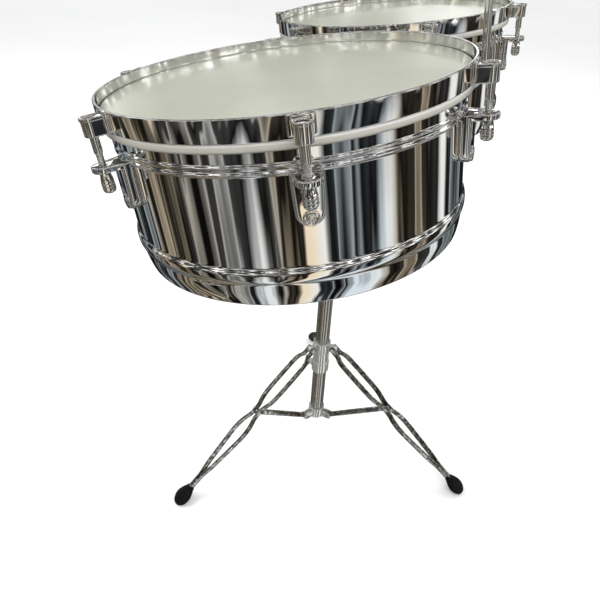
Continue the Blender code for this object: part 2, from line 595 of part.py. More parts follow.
def build_tripod():
    place("brace_hub", brace_hub_mesh(), CHROME)
    place("tripod_collar", tripod_collar_mesh(), CHROME)
    inner = BASE_TUBE_RADIUS + GAP
    at = Vector((inner * cos(WING_AZIMUTH), inner * sin(WING_AZIMUTH), WING_HEIGHT))
    bolt = place("collar_wing_bolt", wing_bolt(4.9 * MM, 3.5 * MM, 26 * MM), CHROME, None, at)
    bolt.rotation_euler = (pi / 2, pi / 2, WING_AZIMUTH + pi / 2)
    down = LEG_TIP - LEG_TOP
    leg_angle = atan2(-down.z, down.x)
    joint = LEG_TOP + down * BRACE_JOINT_SHARE
    up = joint - BRACE_BOTTOM
    for k, azimuth in enumerate(LEG_AZIMUTHS, 1):
        for name, mesh, look, start, slope in (
                (f"leg_{k}", leg_mesh(), CHROME, LEG_TOP, leg_angle),
                (f"foot_{k}", foot_mesh(leg_angle), RUBBER, LEG_TOP, leg_angle),
                (f"brace_{k}", brace_mesh(up.length), CHROME, BRACE_BOTTOM, -atan2(up.z, up.x))):
            item = place(name, mesh, look, None, around(azimuth) @ start)
            item.rotation_euler = (0, slope, azimuth)


def centre_on_floor():
    bpy.context.view_layer.update()
    corners = [item.matrix_world @ vertex.co for item in COLLECTION.objects if item.type == "MESH"
               for vertex in item.data.vertices]
    low, high = ([pick(corner[axis] for corner in corners) for axis in range(3)] for pick in (min, max))
    ROOT.location = (-(low[0] + high[0]) / 2, -(low[1] + high[1]) / 2, -low[2])
    bpy.context.view_layer.update()


clear_scene()
COLLECTION = bpy.data.collections.new("timbales")
bpy.context.scene.collection.children.link(COLLECTION)
ROOT = link("timbales_root", None)
CHROME = material("chrome", (0.62, 0.62, 0.62), 0.12, 1)
FILM = material("head_film", (0.62, 0.62, 0.52), 0.4, 0)
RUBBER = material("black_rubber", (0.015, 0.015, 0.015), 0.7, 0)
build_head_of_stand()
build_post()
build_tripod()
centre_on_floor()
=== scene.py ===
"""A pair of chromed timbales on one tripod stand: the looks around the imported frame.

Every length is in metres and every piece stands in the row frame. The object's own measures are those of the
CAD source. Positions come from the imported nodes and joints.
"""
import json
from math import atan2, cos, pi, radians, sin, tau

import bmesh
import bpy
from mathutils import Matrix, Vector


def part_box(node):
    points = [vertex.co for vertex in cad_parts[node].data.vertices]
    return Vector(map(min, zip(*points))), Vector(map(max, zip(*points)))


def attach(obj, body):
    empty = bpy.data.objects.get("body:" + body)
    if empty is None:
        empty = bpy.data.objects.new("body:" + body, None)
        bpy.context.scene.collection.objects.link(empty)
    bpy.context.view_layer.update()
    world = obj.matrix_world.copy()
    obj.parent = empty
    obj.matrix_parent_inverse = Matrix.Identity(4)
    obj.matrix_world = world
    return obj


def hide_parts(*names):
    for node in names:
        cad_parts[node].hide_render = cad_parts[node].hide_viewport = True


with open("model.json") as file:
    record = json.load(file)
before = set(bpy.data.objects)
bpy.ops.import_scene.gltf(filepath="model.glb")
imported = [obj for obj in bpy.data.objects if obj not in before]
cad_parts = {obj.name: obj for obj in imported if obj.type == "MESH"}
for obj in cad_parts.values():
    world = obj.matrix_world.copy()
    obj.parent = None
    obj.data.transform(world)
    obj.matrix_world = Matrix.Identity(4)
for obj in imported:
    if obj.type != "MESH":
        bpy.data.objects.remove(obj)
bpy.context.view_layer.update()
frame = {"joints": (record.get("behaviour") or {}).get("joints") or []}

MM = 0.001
INCH = 25.4 * MM

# Drums. Depths are below the top edge of the counterhoop.
SHELL_RADIUS = {"large_drum": 14 * INCH / 2, "small_drum": 13 * INCH / 2}
DRUM_TILT = {"large_drum": radians(9.5), "small_drum": radians(7.5)}
DRUM_SIDE = {"large_drum": 1, "small_drum": -1}
HOOP_OVER_SHELL = 9.2 * MM
HOOP_THICKNESS = 3 * MM
HOOP_HEIGHT = 18.9 * MM
HALF_DRUM_GAP = 20.4 * MM
HOOP_TOP_ABOVE_CROSSBAR = 75 * MM
FILM_DEPTH = 10.5 * MM
FLESH_TOP = 19.1 * MM
FLESH_BOTTOM = 27.4 * MM
ROD_OUTSIDE_HOOP = 13 * MM
LUG_COUNT = 6
FIRST_LUG = {"large_drum": radians(28), "small_drum": radians(30.5)}
EAR_TOP = 44 * MM
EAR_BOTTOM = 50 * MM
NUT_TOP = 50.3 * MM
LUG_FACE = 10 * MM  # how far a lug's face stands out from the shell
LUG_BOTTOM = 91 * MM
LUG_SCREW_DEPTH = 82.8 * MM
SHELL_BOTTOM = 171.9 * MM
LABEL_DEPTH = 158.5 * MM
LABEL_AZIMUTH = radians(-5.5)
SKIRT_SLOPE = 0.145  # how much the skirt draws in for each metre down

# Stand. Heights are above the floor.
CROSSBAR_TILT = radians(9.5)
LOWER_TUBE = (63 * MM, 430 * MM, 12.7 * MM, 11.5 * MM)  # low, high, outer radius, inner radius
UPPER_TUBE = (150 * MM, 610 * MM, 11.1 * MM, 9.6 * MM)
LOWER_TUBE_BORE = 12.95 * MM
UPPER_TUBE_BORE = 11.35 * MM
COLLAR_WING_AZIMUTH = radians(-93)
COLLAR_WING_HEIGHT = 195 * MM
PIN_BORE = 2.9 * MM

# Tripod, in the plane of one leg: (distance from the post's axis, height)
LEG_AZIMUTHS = [radians(angle) for angle in (201.5, 326.9, 86.9)]
LEG_TOP = Vector((24 * MM, 0, 242.9 * MM))
LEG_TIP = Vector((298.4 * MM, 0, 10 * MM))
BRACE_BOTTOM = Vector((27 * MM, 0, 70 * MM))
BRACE_JOINT_SHARE = 0.418

ROUND = 224  # steps round a drum
SMALL = 48  # steps round a tube, cap or screw
# an outline in X and Y stands up across Y and Z, its thickness along X
UPRIGHT = Matrix(((0, 0, 1, 0), (1, 0, 0, 0), (0, 1, 0, 0), (0, 0, 0, 1)))


SHARP = radians(38)  # edges that turn by more than this stay sharp


# ---------------------------------------------------------------- mesh tools

def mesh_of(shape):
    """A mesh from a bmesh, its faces turned outwards."""
    bmesh.ops.recalc_face_normals(shape, faces=shape.faces)
    mesh = bpy.data.meshes.new("piece")
    shape.to_mesh(mesh)
    shape.free()
    return mesh


def skin(points, faces):
    """A closed mesh from its points and the corners of its faces."""
    mesh = bpy.data.meshes.new("skin")
    mesh.from_pydata(points, [], faces)
    shape = bmesh.new()
    shape.from_mesh(mesh)
    return mesh_of(shape)


def in_mm(rows):
    """Rows of numbers in millimetres, in metres."""
    return [tuple(number * MM for number in row) for row in rows]


def rounded(corners, steps=4, closed=True):
    """A line through (x, y, radius) corners, with each corner eased by about its radius."""
    made = []
    count = len(corners)
    for k, (x, y, radius) in enumerate(corners):
        here = Vector((x, y))
        ends = not closed and k in (0, count - 1)
        if radius <= 0 or ends:
            made.append(here)
            continue
        before = Vector(corners[k - 1][:2]) - here
        after = Vector(corners[(k + 1) % count][:2]) - here
        start = here + before.normalized() * min(radius, before.length * 0.48)
        finish = here + after.normalized() * min(radius, after.length * 0.48)
        for step in range(steps + 1):
            t = step / steps
            made.append(start * (1 - t) ** 2 + here * 2 * t * (1 - t) + finish * t * t)
    return [(point.x, point.y) for point in made]


def turned(profile, steps=SMALL):
    """A profile of (radius, height) points turned about Z, closed on itself unless it starts on the axis."""
    points, faces, rings = [], [], []
    for radius, height in profile:
        if radius < 1e-7:
            rings.append([len(points)] * steps)
            points.append((0, 0, height))
        else:
            rings.append(list(range(len(points), len(points) + steps)))
            points += [(radius * cos(tau * k / steps), radius * sin(tau * k / steps), height)
                       for k in range(steps)]
    pairs = list(zip(rings, rings[1:]))
    if profile[0][0] > 1e-7:
        pairs.append((rings[-1], rings[0]))
    for upper, lower in pairs:
        for k in range(steps):
            after = (k + 1) % steps
            corners = dict.fromkeys((upper[k], upper[after], lower[after], lower[k]))
            if len(corners) > 2:
                faces.append(tuple(corners))
    return skin(points, faces)


def lathed(corners, around=SMALL, steps=4):
    """A body turned from (radius, height, easing) corners that start and end on the axis."""
    return turned(rounded(corners, steps, False), around)


def bevel_edges(shape, width, segments=3, angle=radians(35)):
    """Ease the edges that are sharper than the angle."""
    edges = [edge for edge in shape.edges if len(edge.link_faces) == 2 and edge.calc_face_angle(0) > angle]
    bmesh.ops.bevel(shape, geom=edges, offset=width, segments=segments, profile=0.5, affect="EDGES",
                    clamp_overlap=True)


def slab(outline, low, high, edge=0.6 * MM, segments=3):
    """A flat outline in X and Y between two heights, its rims rounded."""
    shape = bmesh.new()
    verts = [shape.verts.new((x, y, low)) for x, y in outline]
    face = shape.faces.new(verts)
    made = bmesh.ops.extrude_face_region(shape, geom=[face])
    top = [item for item in made["geom"] if isinstance(item, bmesh.types.BMVert)]
    bmesh.ops.translate(shape, verts=top, vec=(0, 0, high - low))
    if edge > 0:
        rim = [e for e in shape.edges if abs(e.verts[0].co.z - e.verts[1].co.z) < 1e-9]
        bmesh.ops.bevel(shape, geom=rim, offset=edge, segments=segments, profile=0.5, affect="EDGES",
                        clamp_overlap=True)
    return mesh_of(shape)


def about_x(angle):
    return Matrix.Rotation(angle, 4, "X")


def about_y(angle):
    return Matrix.Rotation(angle, 4, "Y")


def about_z(angle):
    return Matrix.Rotation(angle, 4, "Z")


def box(low, high, edge=0.8 * MM, segments=3):
    """A block between two corners with eased edges."""
    low, high = Vector(low), Vector(high)
    shape = bmesh.new()
    place = Matrix.Translation((low + high) / 2) @ Matrix.Diagonal((*(high - low), 1))
    bmesh.ops.create_cube(shape, size=1, matrix=place)
    if edge > 0:
        bevel_edges(shape, edge, segments)
    return mesh_of(shape)


def aimed(start, end):
    """A place at the start whose Z points to the end."""
    start, end = Vector(start), Vector(end)
    return Matrix.Translation(start) @ (end - start).to_track_quat("Z", "Y").to_matrix().to_4x4()


def rod(start, end, radius, edge=0.6 * MM, steps=SMALL):
    """A round bar between two points with eased rims."""
    length = (Vector(end) - Vector(start)).length
    bar = lathed([(0, length, 0), (radius, length, edge), (radius, 0, edge), (0, 0, 0)], steps)
    return moved(bar, aimed(start, end))


def threaded(start, end, radius, pitch=1.25 * MM, depth=0.45 * MM, steps=24):
    """A threaded bar between two points: its ridge winds round it."""
    length = (Vector(end) - Vector(start)).length
    rows = max(8, int(length / pitch * 6))
    points, faces = [], []
    for row in range(rows + 1):
        height = length * row / rows
        fade = min(1, (length - height) / (1.2 * pitch), 1)
        for k in range(steps):
            phase = (height / pitch - k / steps) % 1
            ridge = abs(2 * phase - 1)
            r = radius - depth * (1 - ridge) - (1 - fade) * 0.5 * MM
            points.append((r * cos(tau * k / steps), r * sin(tau * k / steps), height))
    for row in range(rows):
        for k in range(steps):
            after = (k + 1) % steps
            a, b = row * steps, (row + 1) * steps
            faces.append((a + k, a + after, b + after, b + k))
    faces.append(tuple(range(steps)))
    faces.append(tuple(rows * steps + k for k in range(steps)))
    return moved(skin(points, faces), aimed(start, end))


def swept(path, section, up):
    """A closed section of (sideways, upwards) points carried along a path. up is the section's upwards."""
    up = Vector(up)
    points, faces = [], []
    count = len(section)
    for k, here in enumerate(path):
        ahead = path[min(k + 1, len(path) - 1)] - path[max(k - 1, 0)]
        side = ahead.cross(up).normalized()
        over = side.cross(ahead).normalized()
        points += [here + side * x + over * y for x, y in section]
    for k in range(len(path) - 1):
        for j in range(count):
            after = (j + 1) % count
            a, b = k * count, (k + 1) * count
            faces.append((a + j, a + after, b + after, b + j))
    faces.append(tuple(range(count)))
    faces.append(tuple((len(path) - 1) * count + j for j in range(count)))
    return skin(points, faces)


def smooth_line(corners, steps=8):
    """Points along a smooth curve through the corners."""
    points = [Vector(c) for c in corners]
    line = []
    for k in range(len(points) - 1):
        before = points[max(k - 1, 0)]
        start, finish = points[k], points[k + 1]
        after = points[min(k + 2, len(points) - 1)]
        for step in range(steps):
            t = step / steps
            line.append(0.5 * (2 * start + (finish - before) * t
                               + (2 * before - 5 * start + 4 * finish - after) * t * t
                               + (3 * start - before - 3 * finish + after) * t ** 3))
    line.append(points[-1])
    return line


def joined(base, add=(), cut=()):
    """One body: meshes united with the first, then others cut from it."""
    for operation, tools in (("UNION", add), ("DIFFERENCE", cut)):
        for tool_mesh in tools:
            item = bpy.data.objects.new("item", base)
            tool = bpy.data.objects.new("tool", tool_mesh)
            for each in (item, tool):
                bpy.context.scene.collection.objects.link(each)
            step = item.modifiers.new("Boolean", "BOOLEAN")
            step.operation = operation
            step.solver = "EXACT"
            step.object = tool
            bpy.context.view_layer.update()
            graph = bpy.context.evaluated_depsgraph_get()
            base = bpy.data.meshes.new_from_object(item.evaluated_get(graph))
            bpy.data.objects.remove(item, do_unlink=True)
            bpy.data.objects.remove(tool, do_unlink=True)
    shape = bmesh.new()
    shape.from_mesh(base)
    bmesh.ops.remove_doubles(shape, verts=shape.verts, dist=2e-6)
    bmesh.ops.dissolve_degenerate(shape, edges=shape.edges, dist=1e-6)
    return mesh_of(shape)


def eased(mesh, width=0.7 * MM, segments=2, angle=40):
    """The mesh with its sharp edges rounded."""
    item = bpy.data.objects.new("item", mesh)
    bpy.context.scene.collection.objects.link(item)
    step = item.modifiers.new("Bevel", "BEVEL")
    step.width = width
    step.segments = segments
    step.limit_method = "ANGLE"
    step.angle_limit = radians(angle)
    step.use_clamp_overlap = True
    step.harden_normals = False
    bpy.context.view_layer.update()
    made = bpy.data.meshes.new_from_object(item.evaluated_get(bpy.context.evaluated_depsgraph_get()))
    bpy.data.objects.remove(item, do_unlink=True)
    return made


def moved(mesh, place):
    """The mesh, put in its place."""
    mesh.transform(place)
    return mesh


def together(*meshes):
    """Several closed parts of one piece, in one mesh."""
    shape = bmesh.new()
    for mesh in meshes:
        shape.from_mesh(mesh)
    return mesh_of(shape)


def show(name, mesh, look, body, stands_for, place):
    """The finished piece, shaded smooth, riding on its body."""
    mesh = mesh.copy()
    mesh.transform(place)
    item = bpy.data.objects.new(name, mesh)
    bpy.context.scene.collection.objects.link(item)
    mesh.materials.clear()
    mesh.materials.append(look)
    mesh.polygons.foreach_set("use_smooth", [True] * len(mesh.polygons))
    mesh.set_sharp_from_angle(angle=SHARP)
    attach(item, body)
    if stands_for:
        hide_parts(*stands_for)
    return item


# ---------------------------------------------------------------- materials

def tree_of(name):
    """A new material with its node tree and its shader."""
    material = bpy.data.materials.new(name)
    material.use_nodes = True
    tree = material.node_tree
    return material, tree, tree.nodes["Principled BSDF"]


def node(tree, kind, links=None, **values):
    """A node with its sockets set by name: a number or colour as a value, a socket as a link."""
    made = tree.nodes.new(kind)
    for key, value in values.items():
        setattr(made, key, value)
    for key, value in (links or {}).items():
        if isinstance(value, bpy.types.NodeSocket):
            tree.links.new(value, made.inputs[key])
        else:
            made.inputs[key].default_value = value
    return made


def ramp(tree, factor, stops):
    """The colour that the stops give at a factor."""
    made = node(tree, "ShaderNodeValToRGB", {"Fac": factor})
    elements = made.color_ramp.elements
    while len(elements) < len(stops):
        elements.new(0.5)
    for element, (place, colour) in zip(elements, stops):
        element.position = place
        element.color = (*colour, 1)
    return made.outputs["Color"]


def mixed(tree, factor, first, second, mode="MIX"):
    """Two colours mixed by a factor."""
    made = node(tree, "ShaderNodeMix", data_type="RGBA", blend_type=mode)
    for socket, value in ((made.inputs["Factor"], factor), (made.inputs[6], first), (made.inputs[7], second)):
        if isinstance(value, bpy.types.NodeSocket):
            tree.links.new(value, socket)
        elif isinstance(value, tuple):
            socket.default_value = (*value, 1)
        else:
            socket.default_value = value
    return made.outputs[2]


def noise(tree, place, scale, detail, **more):
    """The strength of a noise at each place."""
    return node(tree, "ShaderNodeTexNoise", {"Vector": place, "Scale": scale, "Detail": detail,
                                             **more}).outputs["Fac"]


def spread(tree, value, low, high, start=0, end=1, **values):
    """The value, its range from start to end carried over to the range from low to high."""
    ends = {"Value": value, "From Min": start, "From Max": end, "To Min": low, "To Max": high}
    return node(tree, "ShaderNodeMapRange", ends, **values).outputs["Result"]


def new_look(name, metal=0):
    """A fresh material: itself, its tree, its shader and the place that its textures go by."""
    material, tree, shader = tree_of(name)
    shader.inputs["Metallic"].default_value = metal
    return material, tree, shader, node(tree, "ShaderNodeTexCoord")


def finish_look(tree, shader, tone, gloss, height, strength, distance):
    """Give the shader its colour, its roughness and its bumps."""
    tree.links.new(tone, shader.inputs["Base Color"])
    tree.links.new(gloss, shader.inputs["Roughness"])
    bump = node(tree, "ShaderNodeBump", {"Height": height, "Strength": strength, "Distance": distance})
    tree.links.new(bump.outputs["Normal"], shader.inputs["Normal"])


def chrome_look(name, colour, low, high, wave, scale, metal=1):
    """Polished chrome plate: faint smears in the gloss and a slow unevenness that bends the reflections."""
    material, tree, shader, at = new_look(name, metal)
    place = at.outputs["Object"]
    dull = tuple(c * 0.9 for c in colour)
    tone = ramp(tree, noise(tree, place, 17, 3), [(0.3, dull), (0.62, colour)])
    gloss = spread(tree, noise(tree, place, 42, 5, Roughness=0.6), low, high, 0.38, 0.72)
    finish_look(tree, shader, tone, gloss, noise(tree, place, scale, 2), wave, 2 * MM)
    return material


def speckled_look():
    """Plated flat strip, its gloss broken up by wear; its colour holds a painted reflection of the speckled
    carpet it stands on, in flecks from near black to near white.
    """
    material, tree, shader, at = new_look("chrome_strip", 1)
    wear_and_painted_reflection = noise(tree, at.outputs["Object"], 150, 4, Roughness=0.65)
    # painted reflection: flecks of near black and near white colour stand in for the speckled carpet seen in
    # the plate
    tone = ramp(tree, wear_and_painted_reflection, [(0.34, (0.05, 0.048, 0.043)), (0.46, (0.26, 0.25, 0.225)),
                              (0.56, (0.46, 0.45, 0.41)), (0.64, (0.95, 0.94, 0.91))])
    finish_look(tree, shader, tone, spread(tree, wear_and_painted_reflection, 0.12, 0.3), wear_and_painted_reflection, 0.35, 0.6 * MM)
    return material


def satin_look():
    """Extruded aluminium of the flesh hoop: fine lines along it, a painted highlight along its top and
    painted shade where it turns down.
    """
    material, tree, shader, at = new_look("satin_aluminium", 0.3)
    long = node(tree, "ShaderNodeMapping", {"Vector": at.outputs["Object"], "Scale": (1, 1, 60)})
    lines = noise(tree, long.outputs["Vector"], 26, 4)
    facing = node(tree, "ShaderNodeSeparateXYZ", {"Vector": at.outputs["Normal"]})
    # painted light: the colour runs from painted shade where the surface faces down to a painted highlight
    # where it faces up
    shade = ramp(tree, spread(tree, facing.outputs["Z"], 0, 1, -1, 1),
                 [(0.14, (0.20, 0.19, 0.17)), (0.4, (0.46, 0.44, 0.385)),
                  (0.58, (0.60, 0.58, 0.52)), (0.76, (0.93, 0.92, 0.88))])
    grain = ramp(tree, lines, [(0.3, (0.86, 0.86, 0.86)), (0.7, (1, 1, 1))])
    tone = mixed(tree, 1.0, shade, grain, "MULTIPLY")
    finish_look(tree, shader, tone, spread(tree, lines, 0.3, 0.48), lines, 0.08, 1 * MM)
    return material


def film_look():
    """Polyester drumhead film: milky and faintly uneven in tone, with a soft gloss and slow ripples in it."""
    material, tree, shader, at = new_look("head_film")
    place = at.outputs["Object"]
    tone = ramp(tree, noise(tree, place, 7, 4), [(0.3, (0.42, 0.43, 0.355)), (0.7, (0.475, 0.485, 0.41))])
    gloss = spread(tree, noise(tree, place, 90, 3), 0.11, 0.17)
    finish_look(tree, shader, tone, gloss, noise(tree, place, 11, 2, Distortion=0.8), 0.08, 1 * MM)
    return material


def rubber_look():
    """Moulded black rubber, scuffed grey in patches."""
    material, tree, shader, at = new_look("black_rubber")
    scuff = noise(tree, at.outputs["Object"], 130, 6, Roughness=0.7)
    tone = ramp(tree, scuff, [(0.45, (0.0015, 0.0015, 0.0015)), (0.8, (0.009, 0.0085, 0.008))])
    shader.inputs["Specular IOR Level"].default_value = 0.25
    finish_look(tree, shader, tone, spread(tree, scuff, 0.4, 0.75), scuff, 0.25, 0.4 * MM)
    return material


CHROME = chrome_look("chrome_plate", (0.86, 0.85, 0.84), 0.015, 0.05, 0.05, 9)
HARDWARE = chrome_look("chrome_hardware", (0.84, 0.82, 0.79), 0.03, 0.09, 0.08, 30)
CAST = chrome_look("chrome_casting", (0.80, 0.81, 0.79), 0.06, 0.18, 0.12, 50, 0.82)
SCREW = chrome_look("nickel_screw", (0.90, 0.88, 0.82), 0.22, 0.34, 0.1, 90)
# painted shade: this steel is made dark so that the tension rods' heads stand for the shade inside the hoop
# ears' recesses
RECESS_SHADE_STEEL = chrome_look("steel_darkened_as_recess_shade", (0.34, 0.32, 0.29), 0.14, 0.3, 0.3, 90)
TUBE = chrome_look("chrome_tube", (0.62, 0.59, 0.54), 0.12, 0.26, 0.08, 20)
STRIP = speckled_look()
SATIN = satin_look()
FILM = film_look()
RUBBER = rubber_look()


# ---------------------------------------------------------------- places

def joint_place(name):
    """Where a joint of the frame has its axis."""
    found = next(joint for joint in frame["joints"] if joint["name"] == name)
    return Vector(found["pos_m"])


low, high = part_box("base_tube")
POST = Matrix.Translation(((low.x + high.x) / 2, (low.y + high.y) / 2, 0))
PIVOT = Matrix.Translation(joint_place("tilter_hinge")) @ about_x(CROSSBAR_TILT)
AXIS = Matrix.Translation(joint_place("large_drum_tilt")) @ about_x(CROSSBAR_TILT)


# ---------------------------------------------------------------- drums

def bead(radius, depth, half, height, steps=10):
    """Points down over one raised bead."""
    return [(radius + height * cos(pi * (k / steps - 0.5)) ** 1.5, -depth + half * (1 - 2 * k / steps))
            for k in range(steps + 1)]


def shell_piece(radius):
    """The open shell: two beads under its bearing edge, a wide bead low down and a drawn-in skirt."""
    mm = MM
    outer = [(radius - 1.2 * mm, -11.2 * mm), (radius - 0.3 * mm, -11.9 * mm), (radius, -13 * mm),
             (radius, -13.6 * mm), (radius, -37.7 * mm)]
    outer += bead(radius, 40.5 * mm, 2.3 * mm, 1.6 * mm)
    outer += bead(radius, 46.5 * mm, 2.3 * mm, 1.6 * mm)
    lower = [(radius, -49.3 * mm), (radius, -129 * mm)]
    lower += rounded([(radius, -129.6 * mm, 0), (radius, -132.2 * mm, 2 * mm),
                      (radius + 2.9 * mm, -135.8 * mm, 2.4 * mm), (radius + 2.9 * mm, -143.6 * mm, 2.4 * mm),
                      (radius + 0.9 * mm, -147.6 * mm, 1.6 * mm), (radius - 1.2 * mm, -162 * mm, 5 * mm),
                      (radius - 3.3 * mm, -171.2 * mm, 1.2 * mm),
                      (radius - 4.4 * mm, -SHELL_BOTTOM, 0.4 * mm)], 6, False)
    inner = rounded([(radius - 5.4 * mm, -171 * mm, 0.4 * mm), (radius - 3.0 * mm, -162 * mm, 5 * mm),
                     (radius - 1.5 * mm, -147 * mm, 3 * mm), (radius - 1.5 * mm, -13 * mm, 1 * mm),
                     (radius - 2.3 * mm, -11.2 * mm, 0.3 * mm)], 5, False)
    return turned(outer + lower + inner, ROUND)


def hoop_piece(hoop_radius):
    """The flat counterhoop with eased rims."""
    inside = hoop_radius - HOOP_THICKNESS
    return turned(rounded([(hoop_radius, 0, 0.9 * MM), (hoop_radius, -HOOP_HEIGHT, 0.7 * MM),
                           (inside, -HOOP_HEIGHT, 0.7 * MM), (inside, 0, 0.9 * MM)], 5), ROUND)


def film_piece(radius, hoop_radius):
    """The film over the bearing edge and down its collar into the flesh hoop."""
    top, thick = -FILM_DEPTH, 0.4 * MM
    collar = hoop_radius - HOOP_THICKNESS - 0.8 * MM
    over = rounded([(0, top, 0), (collar, top, 1.6 * MM), (collar, -FLESH_TOP - 1 * MM, 0)], 6, False)
    # more rings inside, so that the disc shades evenly
    over = [(0, top)] + [(radius * share, top) for share in (0.25, 0.5, 0.75, 0.93)] + over[1:]
    under = []
    for k, (r, z) in enumerate(over):
        inwards = thick * (0.2 if k < 6 else 1)
        under.append((max(r - inwards, 0), z - (thick if k < 8 else 0)))
    return turned(over + list(reversed(under))[:-1] + [(0, top - thick)], ROUND)


def flesh_piece(radius, hoop_radius):
    """The aluminium hoop into which the film is crimped."""
    inside, outside = radius + 0.5 * MM, hoop_radius - 1.3 * MM
    return turned(rounded([(outside, -FLESH_TOP, 3.4 * MM), (outside, -FLESH_BOTTOM, 3.4 * MM),
                           (inside, -FLESH_BOTTOM, 0.6 * MM), (inside, -FLESH_TOP, 0.6 * MM)], 8), ROUND)


def lug_piece(radius, rod_radius):
    """The pressed bracket: a rounded ear over a U-shaped body with soft shoulders and its screw's ring."""
    face, back = radius + LUG_FACE, radius - 0.6 * MM
    half, foot = 13.6 * MM, 12.6 * MM
    bottom = -LUG_BOTTOM
    outline = [(-half, -46 * MM)]
    turn = bottom + foot
    outline += [(-half, turn + 22 * MM)]
    outline += [(-foot * cos(a), turn - foot * sin(a)) for a in [pi * k / 20 for k in range(21)]]
    outline += [(half, turn + 22 * MM), (half, -46 * MM)]
    body = slab(outline, back, face, 3.4 * MM, 5)
    body.transform(UPRIGHT)
    reach = 10.5 * MM
    ear_line = [(back, -half), (back + 6 * MM, -half), (rod_radius - 6 * MM, -reach - 0.4 * MM)]
    ear_line += [(rod_radius + reach * sin(a), -reach * cos(a)) for a in [pi * k / 24 for k in range(25)]]
    ear_line += [(rod_radius - 6 * MM, reach + 0.4 * MM), (back + 6 * MM, half), (back, half)]
    ear = slab(ear_line, -EAR_BOTTOM, -EAR_TOP, 1.4 * MM, 4)
    ring = lathed(in_mm([(0, 1.3, 0), (6.2, 1.3, 0), (7, 1, 0.5), (7.4, -0.8, 0.2), (7.4, -1.5, 0),
                         (0, -1.5, 0)]))
    ring = moved(ring, Matrix.Translation((face, 0, -LUG_SCREW_DEPTH)) @ about_y(pi / 2))
    well = rod((face - 2 * MM, 0, -LUG_SCREW_DEPTH), (face + 4 * MM, 0, -LUG_SCREW_DEPTH), 5.7 * MM, 0)
    hole = rod((rod_radius, 0, -EAR_BOTTOM - 2 * MM), (rod_radius, 0, -EAR_TOP + 2 * MM), 3.75 * MM, 0)
    return joined(body, [ear, ring], [well, hole])


def screw_piece():
    """A round-headed cross-recess screw. X is out of the lug."""
    head = lathed(in_mm([(0, 1.9, 0), (2.4, 1.8, 1), (4.2, 0.9, 0.8), (4.5, 0, 0.3), (4.5, -2.6, 0),
                         (0, -2.6, 0)]))
    slots = []
    for turn in (0, pi / 2):
        slot = box((-2.7 * MM, -0.55 * MM, -0.8 * MM), (2.7 * MM, 0.55 * MM, 4 * MM), 0)
        slots.append(moved(slot, about_z(turn + radians(12))))
    cross = joined(slots[0], [slots[1]])
    return moved(joined(head, [], [cross]), about_y(pi / 2))


def hoop_ear_piece(hoop_radius):
    """The counterhoop's ear: a plate against the hoop and a round-ended block with a recess for the bolt."""
    mm = MM
    rod_radius = hoop_radius + ROD_OUTSIDE_HOOP
    back = hoop_radius - 1.2 * mm
    plate = box((back, -11.2 * mm, -16.8 * mm), (hoop_radius + 2.7 * mm, 11.2 * mm, 0.45 * mm), 1.5 * mm, 4)

    def stadium(half):
        turn = [pi * k / 32 - pi / 2 for k in range(33)]
        line = [(back + 0.4 * mm, -half)]
        line += [(rod_radius + half * cos(a), half * sin(a)) for a in turn]
        return line + [(back + 0.4 * mm, half)]

    body = slab(stadium(7.5 * mm), -18.8 * mm, -3 * mm, 1.3 * mm, 4)
    rim = slab(stadium(8.3 * mm), -5.4 * mm, -1.9 * mm, 1.1 * mm, 4)
    axis = Matrix.Translation((rod_radius, 0, 0))
    recess = lathed(in_mm([(0, 1, 0), (6.3, 1, 0), (6.1, -2.2, 0.5), (5.6, -3.4, 0.5), (5.6, -10, 0.3),
                           (0, -10, 0)]), SMALL, 3)
    bore = rod((0, 0, -20 * mm), (0, 0, -9 * mm), 4.3 * mm, 0)
    return joined(plate, [body, rim], [moved(recess, axis), moved(bore, axis)])


def bolt_pieces():
    """A tension rod: a flanged square head, a smooth shank and a thread. Z is its axis."""
    mm = MM
    shank = lathed(in_mm([(0, -7.8, 0), (5.1, -7.8, 0.4), (5.1, -9.7, 0.4), (4, -9.7, 0), (4, -33.2, 0.6),
                          (3.1, -34.4, 0.3), (3.1, -36, 0), (0, -36, 0)]), 32)
    thread = threaded((0, 0, -34.5 * mm), (0, 0, -67.9 * mm), 3.3 * mm)
    half = 3.2 * mm
    square = rounded([(-half, -half, 0.6 * mm), (half, -half, 0.6 * mm), (half, half, 0.6 * mm),
                      (-half, half, 0.6 * mm)], 3)
    return together(shank, thread), slab(square, -8.2 * mm, -3.6 * mm, 0.6 * mm, 2)


def nut_piece():
    """A long closed nut: a neck, a grooved, eight-sided waist and a blunt end. Its top is at 0."""
    mm = MM
    line = in_mm([(0, 0, 0), (5.3, 0, 0.4), (5.3, -2.2, 1), (5.9, -6, 1.6)])
    for k, wide in enumerate((6.3, 6.6, 6.6)):
        top = (-7.6 - 3 * k) * mm
        line += [(wide * mm, top, 0.4 * mm), (wide * mm, top - 2 * mm, 0.3 * mm),
                 ((wide - 0.7) * mm, top - 2.3 * mm, 0.15 * mm),
                 ((wide - 0.7) * mm, top - 2.8 * mm, 0.15 * mm)]
    line += in_mm([(6.3, -16.6, 0.5), (5.4, -18.4, 0.9), (3, -19.8, 0.8), (0, -20, 0)])
    nut = lathed(line, 8, 3)
    bore = rod((0, 0, -18 * mm), (0, 0, 2 * mm), 3.6 * mm, 0, 24)
    return joined(eased(nut, 0.5 * mm, 2, 30), [], [bore])


